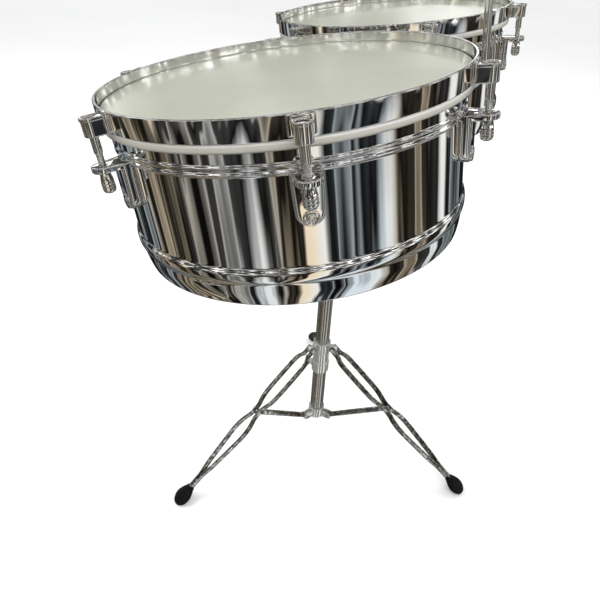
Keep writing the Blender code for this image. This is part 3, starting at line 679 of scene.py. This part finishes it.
def badge_piece(radius):
    """A blank foil label on the skirt: X runs round the shell, Y up the skirt, before it is bent to fit."""
    mm = MM
    wide, tall = 18.5 * mm, 7.6 * mm
    outline = rounded([(-wide, -tall, 2.4 * mm), (wide, -tall, 2.4 * mm), (wide, tall, 2.4 * mm),
                       (-wide, tall, 2.4 * mm)], 5)
    shape = bmesh.new()
    shape.from_mesh(slab(outline, -0.5 * mm, 0.45 * mm, 0.3 * mm, 2))
    for k in range(-8, 9):
        whole = list(shape.verts) + list(shape.edges) + list(shape.faces)
        bmesh.ops.bisect_plane(shape, geom=whole, plane_co=(k * 2.2 * mm, 0, 0), plane_no=(1, 0, 0))
    for vert in shape.verts:
        along, up, out = vert.co
        depth = -LABEL_DEPTH + up
        reach = radius - 0.45 * mm + (depth + LABEL_DEPTH) * SKIRT_SLOPE + out
        angle = along / radius
        vert.co = (reach * cos(angle), reach * sin(angle), depth)
    return mesh_of(shape)


def mount_pieces(radius, hoop_radius):
    """The pressed plate, its rod for the crossbar and the two bolts that hold it. X is out of the drum."""
    mm = MM
    axis = -HOOP_TOP_ABOVE_CROSSBAR
    face = radius + 7 * mm
    outline = rounded([(-23 * mm, axis - 26 * mm, 6 * mm), (23 * mm, axis - 26 * mm, 6 * mm),
                       (23 * mm, axis + 26 * mm, 6 * mm), (-23 * mm, axis + 26 * mm, 6 * mm)], 6)
    plate = slab(outline, radius - 4 * mm, face, 2.4 * mm, 4)
    plate.transform(UPRIGHT)
    hollow = turned([(0, 0), (radius + 0.2 * mm, 0), (radius + 0.2 * mm, -200 * mm), (0, -200 * mm)], ROUND)
    collar = moved(lathed(in_mm([(0, 5, 0), (8.5, 5, 1.4), (11, -1, 0.6), (11, -3, 0), (0, -3, 0)]), SMALL),
                   Matrix.Translation((face, 0, axis)) @ about_y(pi / 2))
    tip = hoop_radius + HALF_DRUM_GAP - 6 * mm
    bar = rod((face - 2 * mm, 0, axis), (tip, 0, axis), 6.35 * mm, 1 * mm)
    base = joined(plate, [collar], [hollow])
    heads = []
    for side in (-1, 1):
        corner = [(4.6 * mm * cos(tau * k / 6), 4.6 * mm * sin(tau * k / 6)) for k in range(6)]
        head = slab(corner, 0, 3.4 * mm, 0.5 * mm, 2)
        washer = lathed(in_mm([(0, 0.9, 0), (6, 0.9, 0.3), (6, -0.5, 0), (0, -0.5, 0)]), 32, 3)
        spot = Matrix.Translation((face, 0, axis + side * 18 * mm)) @ about_y(pi / 2)
        heads.append(moved(together(head, washer), spot))
    return base, bar, together(*heads)


def build_drum(name):
    """Everything that tilts with one drum, and its six tension nuts."""
    radius = SHELL_RADIUS[name]
    hoop_radius = radius + HOOP_OVER_SHELL
    rod_radius = hoop_radius + ROD_OUTSIDE_HOOP
    side = DRUM_SIDE[name]
    centre = (Matrix.Translation(joint_place(name + "_tilt")) @ about_x(DRUM_TILT[name])
              @ Matrix.Translation((side * (hoop_radius + HALF_DRUM_GAP), 0, HOOP_TOP_ABOVE_CROSSBAR)))
    show(name + "_shell_wall", shell_piece(radius), CHROME, name, [name + "_shell"], centre)
    show(name + "_hoop", hoop_piece(hoop_radius), CHROME, name, [name + "_counterhoop"], centre)
    show(name + "_film", film_piece(radius, hoop_radius), FILM, name, [name + "_head"], centre)
    if side > 0:
        show(name + "_blank_label", badge_piece(radius), CHROME, name, [], centre @ about_z(LABEL_AZIMUTH))
    show(name + "_flesh_hoop", flesh_piece(radius, hoop_radius), SATIN, name, [], centre)
    inward = centre @ about_z(0 if side < 0 else pi)
    plate, bar, heads = mount_pieces(radius, hoop_radius)
    show(name + "_mount_plate", plate, HARDWARE, name, [name + "_mount"], inward)
    show(name + "_mount_rod", bar, HARDWARE, name, [], inward)
    show(name + "_mount_bolts", heads, RECESS_SHADE_STEEL, name, [], inward)
    lug, screw = lug_piece(radius, rod_radius), screw_piece()
    ear, nut = hoop_ear_piece(hoop_radius), nut_piece()
    shank, drive = bolt_pieces()
    for k in range(LUG_COUNT):
        azimuth = FIRST_LUG[name] + k * tau / LUG_COUNT
        spoke = centre @ about_z(azimuth)
        on_rod = spoke @ Matrix.Translation((rod_radius, 0, 0))
        tag = f"{name}_{{}}_{k + 1}"
        show(tag.format("lug"), lug, CHROME, name, [], spoke)
        show(tag.format("lug_screw"), screw, SCREW, name, [],
             spoke @ Matrix.Translation((radius + LUG_FACE + 0.2 * MM, 0, -LUG_SCREW_DEPTH))
             @ about_x(0.6 * k))
        show(tag.format("hoop_ear"), ear, HARDWARE, name, [], spoke)
        show(tag.format("bolt"), shank, HARDWARE, name, [f"{name}_tension_rod_{k + 1}"], on_rod)
        # the rod's square head in dark steel is painted shade for the recess it sits in
        show(tag.format("bolt_head"), drive, RECESS_SHADE_STEEL, name, [], on_rod @ about_z(0.4 + 0.7 * k))
        nut_body = f"{name}_tension_nut_{k + 1}"
        show(tag.format("nut"), nut, HARDWARE, nut_body, [nut_body],
             on_rod @ Matrix.Translation((0, 0, -NUT_TOP)) @ about_z(0.5 * k))


# ---------------------------------------------------------------- head of the stand

def wing_bolt(shaft, shaft_radius, span):
    """A wing bolt along -Z: threaded shaft from the origin, turned hub and two cast wings across X."""
    mm = MM
    hub = lathed([(0, shaft + 9 * mm, 0), (3.4 * mm, shaft + 9 * mm, 1 * mm),
                  (5.5 * mm, shaft + 3.5 * mm, 1.5 * mm), (5.5 * mm, shaft, 0.6 * mm), (0, shaft, 0)], SMALL)
    half = span / 2
    lobe = [(2 * mm, shaft + 1.2 * mm, 0), (half - 7 * mm, shaft + 2.4 * mm, 3 * mm),
            (half - 1.5 * mm, shaft + 4.5 * mm, 3 * mm), (half, shaft + 9 * mm, 3.5 * mm),
            (half - 3 * mm, shaft + 13 * mm, 3.5 * mm),
            (half - 8 * mm, shaft + 12.2 * mm, 3 * mm), (2 * mm, shaft + 7.6 * mm, 0)]
    right = slab(rounded(lobe, 5), -1.7 * mm, 1.7 * mm, 1.1 * mm, 3)
    right.transform(about_x(pi / 2))
    left = right.copy()
    left.transform(about_z(pi))
    bolt = joined(hub, [right, left])
    return together(bolt, threaded((0, 0, shaft + 1 * mm), (0, 0, 0.2 * mm), shaft_radius, 1 * mm, 0.35 * mm))


def crossbar_piece(axis):
    """The tilting half of the tilter, with the crossbar on its axis. The origin is the pivot."""
    mm = MM
    across = Vector((20 * mm, 0, 0))
    bar = rod(axis - across, axis + across, 13 * mm, 1.6 * mm, 64)
    arm = moved(box((0.4 * mm, -10 * mm, 0), (10.6 * mm, 10 * mm, axis.length), 1.4 * mm),
                about_x(-atan2(axis.y, axis.z)))
    boss_end = axis + Vector((0, 30 * mm, 0))
    add = [rod((0.4 * mm, 0, 0), (10.6 * mm, 0, 0), 22 * mm, 1 * mm, 96), arm,
           rod(axis, boss_end, 10 * mm, 1.2 * mm),
           box(axis + Vector((4 * mm, -24 * mm, -8 * mm)), axis + Vector((18 * mm, 0, 8 * mm)), 1.6 * mm),
           box(axis + Vector((-18 * mm, -8 * mm, 0)), axis + Vector((-4 * mm, 8 * mm, 24 * mm)), 1.6 * mm)]
    cut = [rod(axis + side * across * 1.1, axis + Vector((side * 5 * mm, 0, 0)), 6.7 * mm, 0)
           for side in (-1, 1)]
    cut += [rod((-1 * mm, 0, 0), (12 * mm, 0, 0), 4.3 * mm, 0),
            rod(axis + Vector((0, 15 * mm, 0)), boss_end + Vector((0, 1 * mm, 0)), 5.1 * mm, 0),
            rod(axis + Vector((11 * mm, 0, 0)), axis + Vector((11 * mm, -40 * mm, 0)), 3.3 * mm, 0),
            rod(axis + Vector((-11 * mm, 0, 0)), axis + Vector((-11 * mm, 0, 40 * mm)), 3.3 * mm, 0),
            rod(axis + Vector((0, 23 * mm, 0)), axis + Vector((0, 23 * mm, 20 * mm)), 2.8 * mm, 0)]
    return joined(bar, add, cut)


def tilter_base_piece():
    """The half of the tilter that stays on the post: a socket and a disc. The origin is the pivot."""
    mm = MM
    top = -30 * mm
    socket = rod((0, 0, top - 32 * mm), (0, 0, top + 6 * mm), 17 * mm, 1.6 * mm, 64)
    disc = rod((-10.6 * mm, 0, 0), (-0.4 * mm, 0, 0), 22 * mm, 1 * mm, 96)
    neck = box((-10.6 * mm, -12 * mm, top), (-0.4 * mm, 12 * mm, 0), 1.2 * mm)
    bore = rod((0, 0, top - 33 * mm), (0, 0, top + 0.3 * mm), 11.3 * mm, 0, 64)
    hole = rod((-20 * mm, 0, 0), (5 * mm, 0, 0), 4.3 * mm, 0)
    return joined(socket, [disc, neck], [bore, hole])


def cowbell_rod_piece():
    """The bent rod between the drums: out of the crossbar's boss along Y, then up."""
    mm = MM
    reach, bend, top = 169 * mm, 25 * mm, 170 * mm
    path = [Vector((0, 15.5 * mm, 0)), Vector((0, 80 * mm, 0)), Vector((0, reach - bend - 2 * mm, 0))]
    path += [Vector((0, reach - bend * (1 - sin(a)), bend * (1 - cos(a))))
             for a in [k * pi / 48 for k in range(25)]]
    path += [Vector((0, reach, 60 * mm)), Vector((0, reach, 120 * mm)), Vector((0, reach, top - 1.4 * mm))]
    section = [(4.75 * mm * cos(tau * k / 32), 4.75 * mm * sin(tau * k / 32)) for k in range(32)]
    return eased(swept(path, section, (1, 0, 0)), 1 * mm, 3)


def build_head_of_stand():
    """The tilter, the crossbar with its wing bolts and the cowbell rod."""
    mm = MM
    level = Matrix.Translation(joint_place("tilter_hinge"))
    axis = PIVOT.inverted() @ joint_place("large_drum_tilt")
    show("tilter_socket", tilter_base_piece(), HARDWARE, "height_post", ["tilter_base"], level)
    show("tilter_crossbar", crossbar_piece(axis), HARDWARE, "crossbar", ["crossbar"], PIVOT)
    gap = 6.65 * mm
    bolts = (("tilter_wing_bolt", wing_bolt(24 * mm, 4 * mm, 34 * mm), Vector((11 * mm, 0, 0)),
              (0, -pi / 2, 0)),
             ("large_drum_wing_bolt", wing_bolt(19 * mm, 3 * mm, 22 * mm), axis + Vector((11 * mm, -gap, 0)),
              (pi / 2, 0, 0)),
             ("small_drum_wing_bolt", wing_bolt(19 * mm, 3 * mm, 22 * mm), axis + Vector((-11 * mm, 0, gap)),
              (0, 0, 0)),
             ("cowbell_wing_bolt", wing_bolt(12 * mm, 2.5 * mm, 22 * mm),
              axis + Vector((0, 23 * mm, 5.05 * mm)), (0, 0, pi / 2)))
    for name, mesh, at, turn in bolts:
        place = PIVOT @ Matrix.Translation(at)
        for angle, letter in zip(turn, "XYZ"):
            place = place @ Matrix.Rotation(angle, 4, letter)
        show(name + "_cast", mesh, HARDWARE, name, [name], place)
    show("accessory_rod", cowbell_rod_piece(), CHROME, "cowbell_rod", ["cowbell_rod"], AXIS)


# ---------------------------------------------------------------- post

def tube_piece(low, high, outer, inner):
    """A plain tube between two heights, with its ends eased."""
    return turned(rounded([(outer, high, 0.5 * MM), (outer, low, 0.5 * MM), (inner, low, 0.3 * MM),
                           (inner, high, 0.3 * MM)], 3), 64)


def build_post():
    """The two tubes of the post, the clamp between them and the memory lock."""
    mm = MM
    show("lower_tube", tube_piece(*LOWER_TUBE), TUBE, "stand", ["base_tube"], POST)
    show("upper_tube", tube_piece(*UPPER_TUBE), TUBE, "height_post", ["height_tube"], POST)
    top = LOWER_TUBE[1]
    sleeve = lathed([(0, top + 10 * mm, 0), (16.5 * mm, top + 10 * mm, 1.5 * mm),
                     (18 * mm, top + 6 * mm, 1 * mm), (18 * mm, top - 8 * mm, 0.8 * mm),
                     (16.8 * mm, top - 9.4 * mm, 0.6 * mm), (16.8 * mm, top - 21 * mm, 0.6 * mm),
                     (18 * mm, top - 22.4 * mm, 0.8 * mm), (18 * mm, top - 26 * mm, 1 * mm),
                     (0, top - 26 * mm, 0)], 64)
    level = top - 10 * mm
    boss = rod((0, -12 * mm, level), (0, -28 * mm, level), 8 * mm, 1 * mm)
    hole = rod((0, -8 * mm, level), (0, -29 * mm, level), 3.8 * mm, 0)
    bore = rod((0, 0, top - 27 * mm), (0, 0, top + 0.3 * mm), LOWER_TUBE_BORE, 0, 64)
    mouth = rod((0, 0, top - 28 * mm), (0, 0, top + 11 * mm), UPPER_TUBE_BORE, 0, 64)
    show("height_clamp_casting", joined(sleeve, [boss], [mouth, bore, hole]), HARDWARE, "stand",
         ["height_clamp"], POST)
    place = POST @ Matrix.Translation((0, -13 * mm, level)) @ about_x(pi / 2)
    show("height_wing_bolt_cast", wing_bolt(17 * mm, 3.5 * mm, 38 * mm), HARDWARE, "height_wing_bolt",
         ["height_wing_bolt"], place @ about_z(pi / 2))
    ring = lathed([(0, top + 23 * mm, 0), (17 * mm, top + 23 * mm, 1.6 * mm),
                   (17 * mm, top + 10.3 * mm, 1 * mm), (0, top + 10.3 * mm, 0)], 64)
    ear = box((-4 * mm, 12 * mm, top + 12 * mm), (4 * mm, 24 * mm, top + 21 * mm), 1 * mm)
    clear = rod((0, 0, top), (0, 0, top + 40 * mm), UPPER_TUBE_BORE, 0, 64)
    screw = rod((-6.5 * mm, 19 * mm, top + 16.5 * mm), (6.5 * mm, 19 * mm, top + 16.5 * mm), 2.2 * mm,
                0.5 * mm, 24)
    show("memory_lock_ring", joined(ring, [ear, screw], [clear]), HARDWARE, "height_post", ["memory_lock"],
         POST)


# ---------------------------------------------------------------- tripod

def collar_piece():
    """The sliding collar: a waisted sleeve, a tongue for each leg and the boss of its wing bolt."""
    mm = MM
    body = lathed(in_mm([(0, 254, 0), (15.8, 254, 1.4), (15.8, 249.6, 0.6), (15, 248.8, 0.5),
                         (15, 238.4, 0.5), (15.8, 237.6, 0.6), (15.8, 233.6, 1), (14.4, 231, 0.8),
                         (14.4, 208, 0.8), (15.8, 206, 0.8), (15.8, 185, 1.2), (14.6, 183, 0.6),
                         (0, 183, 0)]), 72)
    add, cut = [], []
    for azimuth in LEG_AZIMUTHS:
        tongue = box((13.6 * mm, -4 * mm, LEG_TOP.z - 6.5 * mm), (LEG_TOP.x, 4 * mm, LEG_TOP.z + 6.5 * mm), 0)
        nose = rod(LEG_TOP - Vector((0, 4 * mm, 0)), LEG_TOP + Vector((0, 4 * mm, 0)), 6.5 * mm, 0.6 * mm)
        hole = rod(LEG_TOP - Vector((0, 6 * mm, 0)), LEG_TOP + Vector((0, 6 * mm, 0)), PIN_BORE, 0, 24)
        add += [moved(tongue, about_z(azimuth)), moved(nose, about_z(azimuth))]
        cut.append(moved(hole, about_z(azimuth)))
    boss = rod((13.4 * mm, 0, COLLAR_WING_HEIGHT), (17.4 * mm, 0, COLLAR_WING_HEIGHT), 7 * mm, 0.8 * mm)
    hole = rod((10 * mm, 0, COLLAR_WING_HEIGHT), (19 * mm, 0, COLLAR_WING_HEIGHT), 3.8 * mm, 0, 24)
    add.append(moved(boss, about_z(COLLAR_WING_AZIMUTH)))
    cut.append(moved(hole, about_z(COLLAR_WING_AZIMUTH)))
    cut.append(rod((0, 0, 182 * mm), (0, 0, 255 * mm), LOWER_TUBE_BORE, 0, 64))
    return joined(body, add, cut)


def hub_piece():
    """The cup at the foot of the post, with a pair of cheeks for each brace."""
    mm = MM
    cup = lathed(in_mm([(0, 84, 0), (15.5, 84, 1.2), (15.5, 62.4, 2), (13, 60, 1), (0, 60, 0)]), 72)
    add = []
    reach = 6.5 * mm
    cut = [rod((0, 0, 62.7 * mm), (0, 0, 90 * mm), LOWER_TUBE_BORE, 0, 64)]
    for azimuth in LEG_AZIMUTHS:
        for side in (-1, 1):
            near, far = sorted((side * 3.5 * mm, side * 6.5 * mm))
            outline = [(13.4 * mm, -reach)]
            outline += [(BRACE_BOTTOM.x + reach * sin(a), -reach * cos(a))
                        for a in [pi * k / 20 for k in range(21)]]
            outline += [(13.4 * mm, reach)]
            cheek = slab(outline, near, far, 0.5 * mm, 2)
            cheek.transform(Matrix.Translation((0, 0, BRACE_BOTTOM.z)) @ about_x(pi / 2))
            add.append(moved(cheek, about_z(azimuth)))
        hole = rod(BRACE_BOTTOM - Vector((0, 8 * mm, 0)), BRACE_BOTTOM + Vector((0, 8 * mm, 0)),
                   PIN_BORE, 0, 24)
        cut.append(moved(hole, about_z(azimuth)))
    return joined(cup, add, cut)


def strip_section():
    """Across 3 mm and up 11 mm, with rolled edges."""
    return rounded(in_mm([(-1.5, -5.5, 1.2), (1.5, -5.5, 1.2), (1.5, 5.5, 1.2), (-1.5, 5.5, 1.2)]), 3)


def leg_pieces():
    """The two bowed strips of a leg, and its pins and rivets. X runs down the leg from its top pin."""
    mm = MM
    length = (LEG_TIP - LEG_TOP).length
    joint = length * BRACE_JOINT_SHARE
    pinch, bow = 6.1 * mm, 13.4 * mm
    line = [(-5.2 * mm, pinch), (6 * mm, pinch), (15 * mm, pinch + 0.6 * mm), (26 * mm, bow - 1.2 * mm),
            (48 * mm, bow + 0.3 * mm), (joint - 46 * mm, bow + 0.2 * mm), (joint - 26 * mm, bow - 2.2 * mm),
            (joint - 11 * mm, pinch + 0.4 * mm), (joint, pinch), (joint + 11 * mm, pinch + 0.5 * mm),
            (joint + 30 * mm, bow - 1.4 * mm), (joint + 52 * mm, bow + 0.2 * mm),
            (joint + 76 * mm, bow - 1.6 * mm), (length - 84 * mm, 7.2 * mm), (length - 60 * mm, 3.2 * mm),
            (length - 48 * mm, 2 * mm), (length - 6.5 * mm, 1.75 * mm)]
    strips = []
    for side in (-1, 1):
        path = smooth_line([(x, side * y, 0) for x, y in line], 7)
        strips.append(swept(path, strip_section(), (0, 0, 1)))
    pin = rod((0, -8.6 * mm, 0), (0, 8.6 * mm, 0), 2.5 * mm, 0.3 * mm, 24)
    heads = []
    for at in (0, joint):
        for side in (-1, 1):
            dome = lathed(in_mm([(0, 2.1, 0), (2.4, 2, 1), (4.2, 0.8, 0.9), (4.2, -0.6, 0), (0, -0.6, 0)]),
                          32)
            turn = about_x(-side * pi / 2)
            heads.append(moved(dome, Matrix.Translation((at, side * (pinch + 1.5 * mm), 0)) @ turn))
    return strips, together(pin, *heads)


def foot_piece(leg_angle):
    """The rubber spade on a leg's end, ribbed round its neck and flat on the floor."""
    mm = MM
    length = (LEG_TIP - LEG_TOP).length
    body = lathed(in_mm([(0, 0, 0), (7.6, 0, 1.5), (8.6, -3, 0.8), (8.2, -4.2, 0.4), (9.6, -5.4, 0.8),
                         (12.5, -12, 4), (15, -20, 5), (14.4, -30, 6), (9, -39, 4), (3, -42, 2),
                         (0, -42, 0)]), 64, 6)
    body.transform(Matrix.Diagonal((0.8, 1, 1, 1)))
    body.transform(Matrix.Translation((length - 26 * mm, 0, 0)) @ about_y(-pi / 2))
    socket = box((length - 30 * mm, -3.6 * mm, -5.7 * mm), (length - 5.5 * mm, 3.6 * mm, 5.7 * mm), 0)
    to_leg = about_y(-leg_angle) @ Matrix.Translation((LEG_TIP.x, 0, -LEG_TOP.z))
    floor = moved(box((-0.1, -0.1, -0.1), (0.1, 0.1, 0), 0), to_leg)
    return joined(body, [], [socket, floor])


def brace_pieces(length):
    """A flat bar with rolled edges and round ends, and the pin of its clevis. X runs up the brace."""
    mm = MM
    half = 5 * mm
    half_turn = [pi / 2 + pi * k / 16 for k in range(17)]
    outline = [(half * cos(a), half * sin(a)) for a in half_turn]
    outline += [(length - half * cos(a), -half * sin(a)) for a in half_turn]
    bar = slab(outline, -2.6 * mm, 2.6 * mm, 1.2 * mm, 3)
    bar.transform(about_x(pi / 2))
    pin = rod((0, -7.6 * mm, 0), (0, 7.6 * mm, 0), 2.5 * mm, 0.2 * mm, 24)
    heads = [rod((0, side * 6.9 * mm, 0), (0, side * 8.6 * mm, 0), 4.2 * mm, 0.7 * mm, 32)
             for side in (-1, 1)]
    return bar, together(pin, *heads)


def build_tripod():
    """The hub, the collar and the three legs with their braces and feet."""
    mm = MM
    show("brace_hub_casting", hub_piece(), CAST, "stand", ["brace_hub"], POST)
    show("collar_casting", collar_piece(), CAST, "collar", ["tripod_collar"], POST)
    wing = COLLAR_WING_AZIMUTH
    at = Vector((13 * mm * cos(wing), 13 * mm * sin(wing), COLLAR_WING_HEIGHT))
    place = (POST @ Matrix.Translation(at) @ about_z(wing + pi / 2) @ about_x(pi / 2) @ about_z(pi / 2))
    show("collar_wing_bolt_cast", wing_bolt(4.9 * mm, 3.5 * mm, 26 * mm), CAST, "collar_wing_bolt",
         ["collar_wing_bolt"], place)
    down = LEG_TIP - LEG_TOP
    leg_angle = atan2(-down.z, down.x)
    up = LEG_TOP + down * BRACE_JOINT_SHARE - BRACE_BOTTOM
    strips, pins = leg_pieces()
    foot = foot_piece(leg_angle)
    bar, brace_pin = brace_pieces(up.length)
    for k, azimuth in enumerate(LEG_AZIMUTHS, 1):
        leg_place = (POST @ about_z(azimuth) @ Matrix.Translation(LEG_TOP) @ about_y(leg_angle))
        brace_place = (POST @ about_z(azimuth) @ Matrix.Translation(BRACE_BOTTOM)
                       @ about_y(-atan2(up.z, up.x)))
        leg, brace = f"leg_{k}", f"brace_{k}"
        show(leg + "_strip_right", strips[0], STRIP, leg, [leg], leg_place)
        show(leg + "_strip_left", strips[1], STRIP, leg, [], leg_place)
        show(leg + "_rivets", pins, CAST, leg, [], leg_place)
        show(f"foot_{k}_rubber", foot, RUBBER, leg, [f"foot_{k}"], leg_place)
        show(brace + "_bar", bar, STRIP, brace, [brace], brace_place)
        show(brace + "_pin", brace_pin, HARDWARE, brace, [], brace_place)


# ---------------------------------------------------------------- room, lights and camera

# The studio that only the reflections see: plain cards from black to white, with grey below
BLACK = (0.004, 0.004, 0.004)
DARK = (0.04, 0.04, 0.04)
GREY = (0.18, 0.18, 0.17)
PALE = (0.4, 0.4, 0.38)
WHITE = (0.85, 0.85, 0.82)
WARM = (1, 0.85, 0.65)
PLAIN = (1, 1, 1)
COOL = (0.8, 0.9, 1)
LAMP = (2.5, 2.5, 2.5)


def studio_colours(tree):
    """The colour in every direction: upright cards, a grey ground far down and soft lamps overhead."""
    way = node(tree, "ShaderNodeTexCoord").outputs["Generated"]
    split = node(tree, "ShaderNodeSeparateXYZ", {"Vector": way})
    turn = node(tree, "ShaderNodeMath", {0: split.outputs["Y"], 1: split.outputs["X"]}, operation="ARCTAN2")
    rise = node(tree, "ShaderNodeMath", {0: split.outputs["Z"]}, operation="ARCSINE")
    sheet = node(tree, "ShaderNodeCombineXYZ", {"X": turn.outputs[0], "Y": rise.outputs[0]}).outputs[0]

    def patches(stretch, scale, detail, distortion):
        spot = node(tree, "ShaderNodeMapping", {"Vector": sheet, "Scale": (*stretch, 1)})
        return node(tree, "ShaderNodeTexNoise", {"Vector": spot.outputs["Vector"], "Scale": scale,
                                                 "Detail": detail, "Distortion": distortion}).outputs["Fac"]

    def between(low_angle, high_angle):
        made = node(tree, "ShaderNodeMapRange", {"Value": rise.outputs[0], "From Min": radians(low_angle),
                                                 "From Max": radians(high_angle)},
                    interpolation_type="SMOOTHSTEP")
        return made.outputs["Result"]

    cards = ramp(tree, patches((2.2, 0.3), 1.1, 3, 0.15), [(0.38, BLACK), (0.43, GREY), (0.46, PALE),
                                                          (0.475, DARK), (0.53, BLACK), (0.56, GREY),
                                                          (0.62, WHITE)])
    tint = ramp(tree, patches((1.2, 0.1), 1.1, 0, 0), [(0.42, WARM), (0.5, PLAIN), (0.58, COOL)])
    cards = mixed(tree, 1.0, cards, tint, "MULTIPLY")
    low_room = mixed(tree, between(-78, -66), GREY, cards)
    lamps = ramp(tree, patches((2.4, 3.2), 2.6, 2, 0.5), [(0.46, DARK), (0.54, GREY), (0.6, WHITE),
                                                         (0.65, LAMP)])
    return mixed(tree, between(-2, 8), low_room, lamps)


def build_room():
    """The world: plain white, with cards and lamps that only the reflections see."""
    world = bpy.data.worlds.new("studio")
    bpy.context.scene.world = world
    world.use_nodes = True
    tree = world.node_tree
    tree.nodes.clear()
    path = node(tree, "ShaderNodeLightPath")
    plain = node(tree, "ShaderNodeBackground", {"Color": (0.97, 0.975, 0.98, 1), "Strength": 1.03})
    seen = node(tree, "ShaderNodeBackground", {"Color": studio_colours(tree), "Strength": 1.15})
    mix = node(tree, "ShaderNodeMixShader", {0: path.outputs["Is Glossy Ray"], 1: plain.outputs[0],
                                             2: seen.outputs[0]})
    out = node(tree, "ShaderNodeOutputWorld")
    tree.links.new(mix.outputs[0], out.inputs["Surface"])


def softbox(name, at, aim, size, power):
    """A soft rectangular light, aimed at a point, that the chrome does not show."""
    light = bpy.data.lights.new(name, "AREA")
    light.shape = "RECTANGLE"
    light.size, light.size_y = size
    light.energy = power
    item = bpy.data.objects.new(name, light)
    bpy.context.scene.collection.objects.link(item)
    item.location = at
    item.rotation_mode = "QUATERNION"
    item.rotation_quaternion = (Vector(aim) - Vector(at)).to_track_quat("-Z", "Y")
    item.visible_glossy = False
    return item


def build_floor():
    """A plain pale floor that the chrome does not reflect."""
    material, tree, shader = tree_of("studio_floor")
    shader.inputs["Roughness"].default_value = 0.9
    shader.inputs["Specular IOR Level"].default_value = 0.1
    place = node(tree, "ShaderNodeTexCoord").outputs["Object"]
    cloud = node(tree, "ShaderNodeTexNoise", {"Vector": place, "Scale": 0.7, "Detail": 2})
    tone = ramp(tree, cloud.outputs["Fac"], [(0.3, (0.86, 0.86, 0.86)), (0.7, (0.9, 0.9, 0.9))])
    tree.links.new(tone, shader.inputs["Base Color"])
    shape = bmesh.new()
    bmesh.ops.create_grid(shape, x_segments=8, y_segments=8, size=8)
    item = bpy.data.objects.new("studio_floor", mesh_of(shape))
    item.data.materials.append(material)
    bpy.context.scene.collection.objects.link(item)
    item.visible_glossy = False


CAMERA_PLACE = (746.5 * MM, 235.8 * MM, 920.9 * MM)  # from the foot of the post
CAMERA_AZIMUTH = radians(20.79)
CAMERA_ELEVATION = radians(36.5)
CAMERA_ROLL = radians(3.09)
CAMERA_LENS = 33.67


def build_camera():
    """The camera stands 0.92 m up, off the large drum's side, and looks down past it."""
    data = bpy.data.cameras.new("camera")
    data.sensor_width = 36
    data.lens = CAMERA_LENS
    data.clip_start, data.clip_end = 0.02, 200
    item = bpy.data.objects.new("camera", data)
    bpy.context.scene.collection.objects.link(item)
    turn = (Matrix.Rotation(CAMERA_AZIMUTH + pi / 2, 4, "Z")
            @ Matrix.Rotation(pi / 2 - CAMERA_ELEVATION, 4, "X") @ Matrix.Rotation(CAMERA_ROLL, 4, "Z"))
    item.matrix_world = POST @ Matrix.Translation(CAMERA_PLACE) @ turn
    bpy.context.scene.camera = item


def build_studio():
    """The room, the floor, three soft lights and the camera."""
    build_room()
    build_floor()
    softbox("key", (0.6, -1.6, 2.6), (0, 0, 0.6), (1.6, 1.2), 34)
    softbox("fill", (1.8, 1.6, 2.2), (0, 0, 0.5), (1.8, 1.8), 22)
    softbox("rear", (-1.8, 0.9, 2.4), (0, 0, 0.6), (1.4, 1.0), 20)
    scene = bpy.context.scene
    scene.view_settings.view_transform = "Standard"
    scene.view_settings.look = "None"
    build_camera()


build_drum("large_drum")
build_drum("small_drum")
build_head_of_stand()
build_post()
build_tripod()
build_studio()
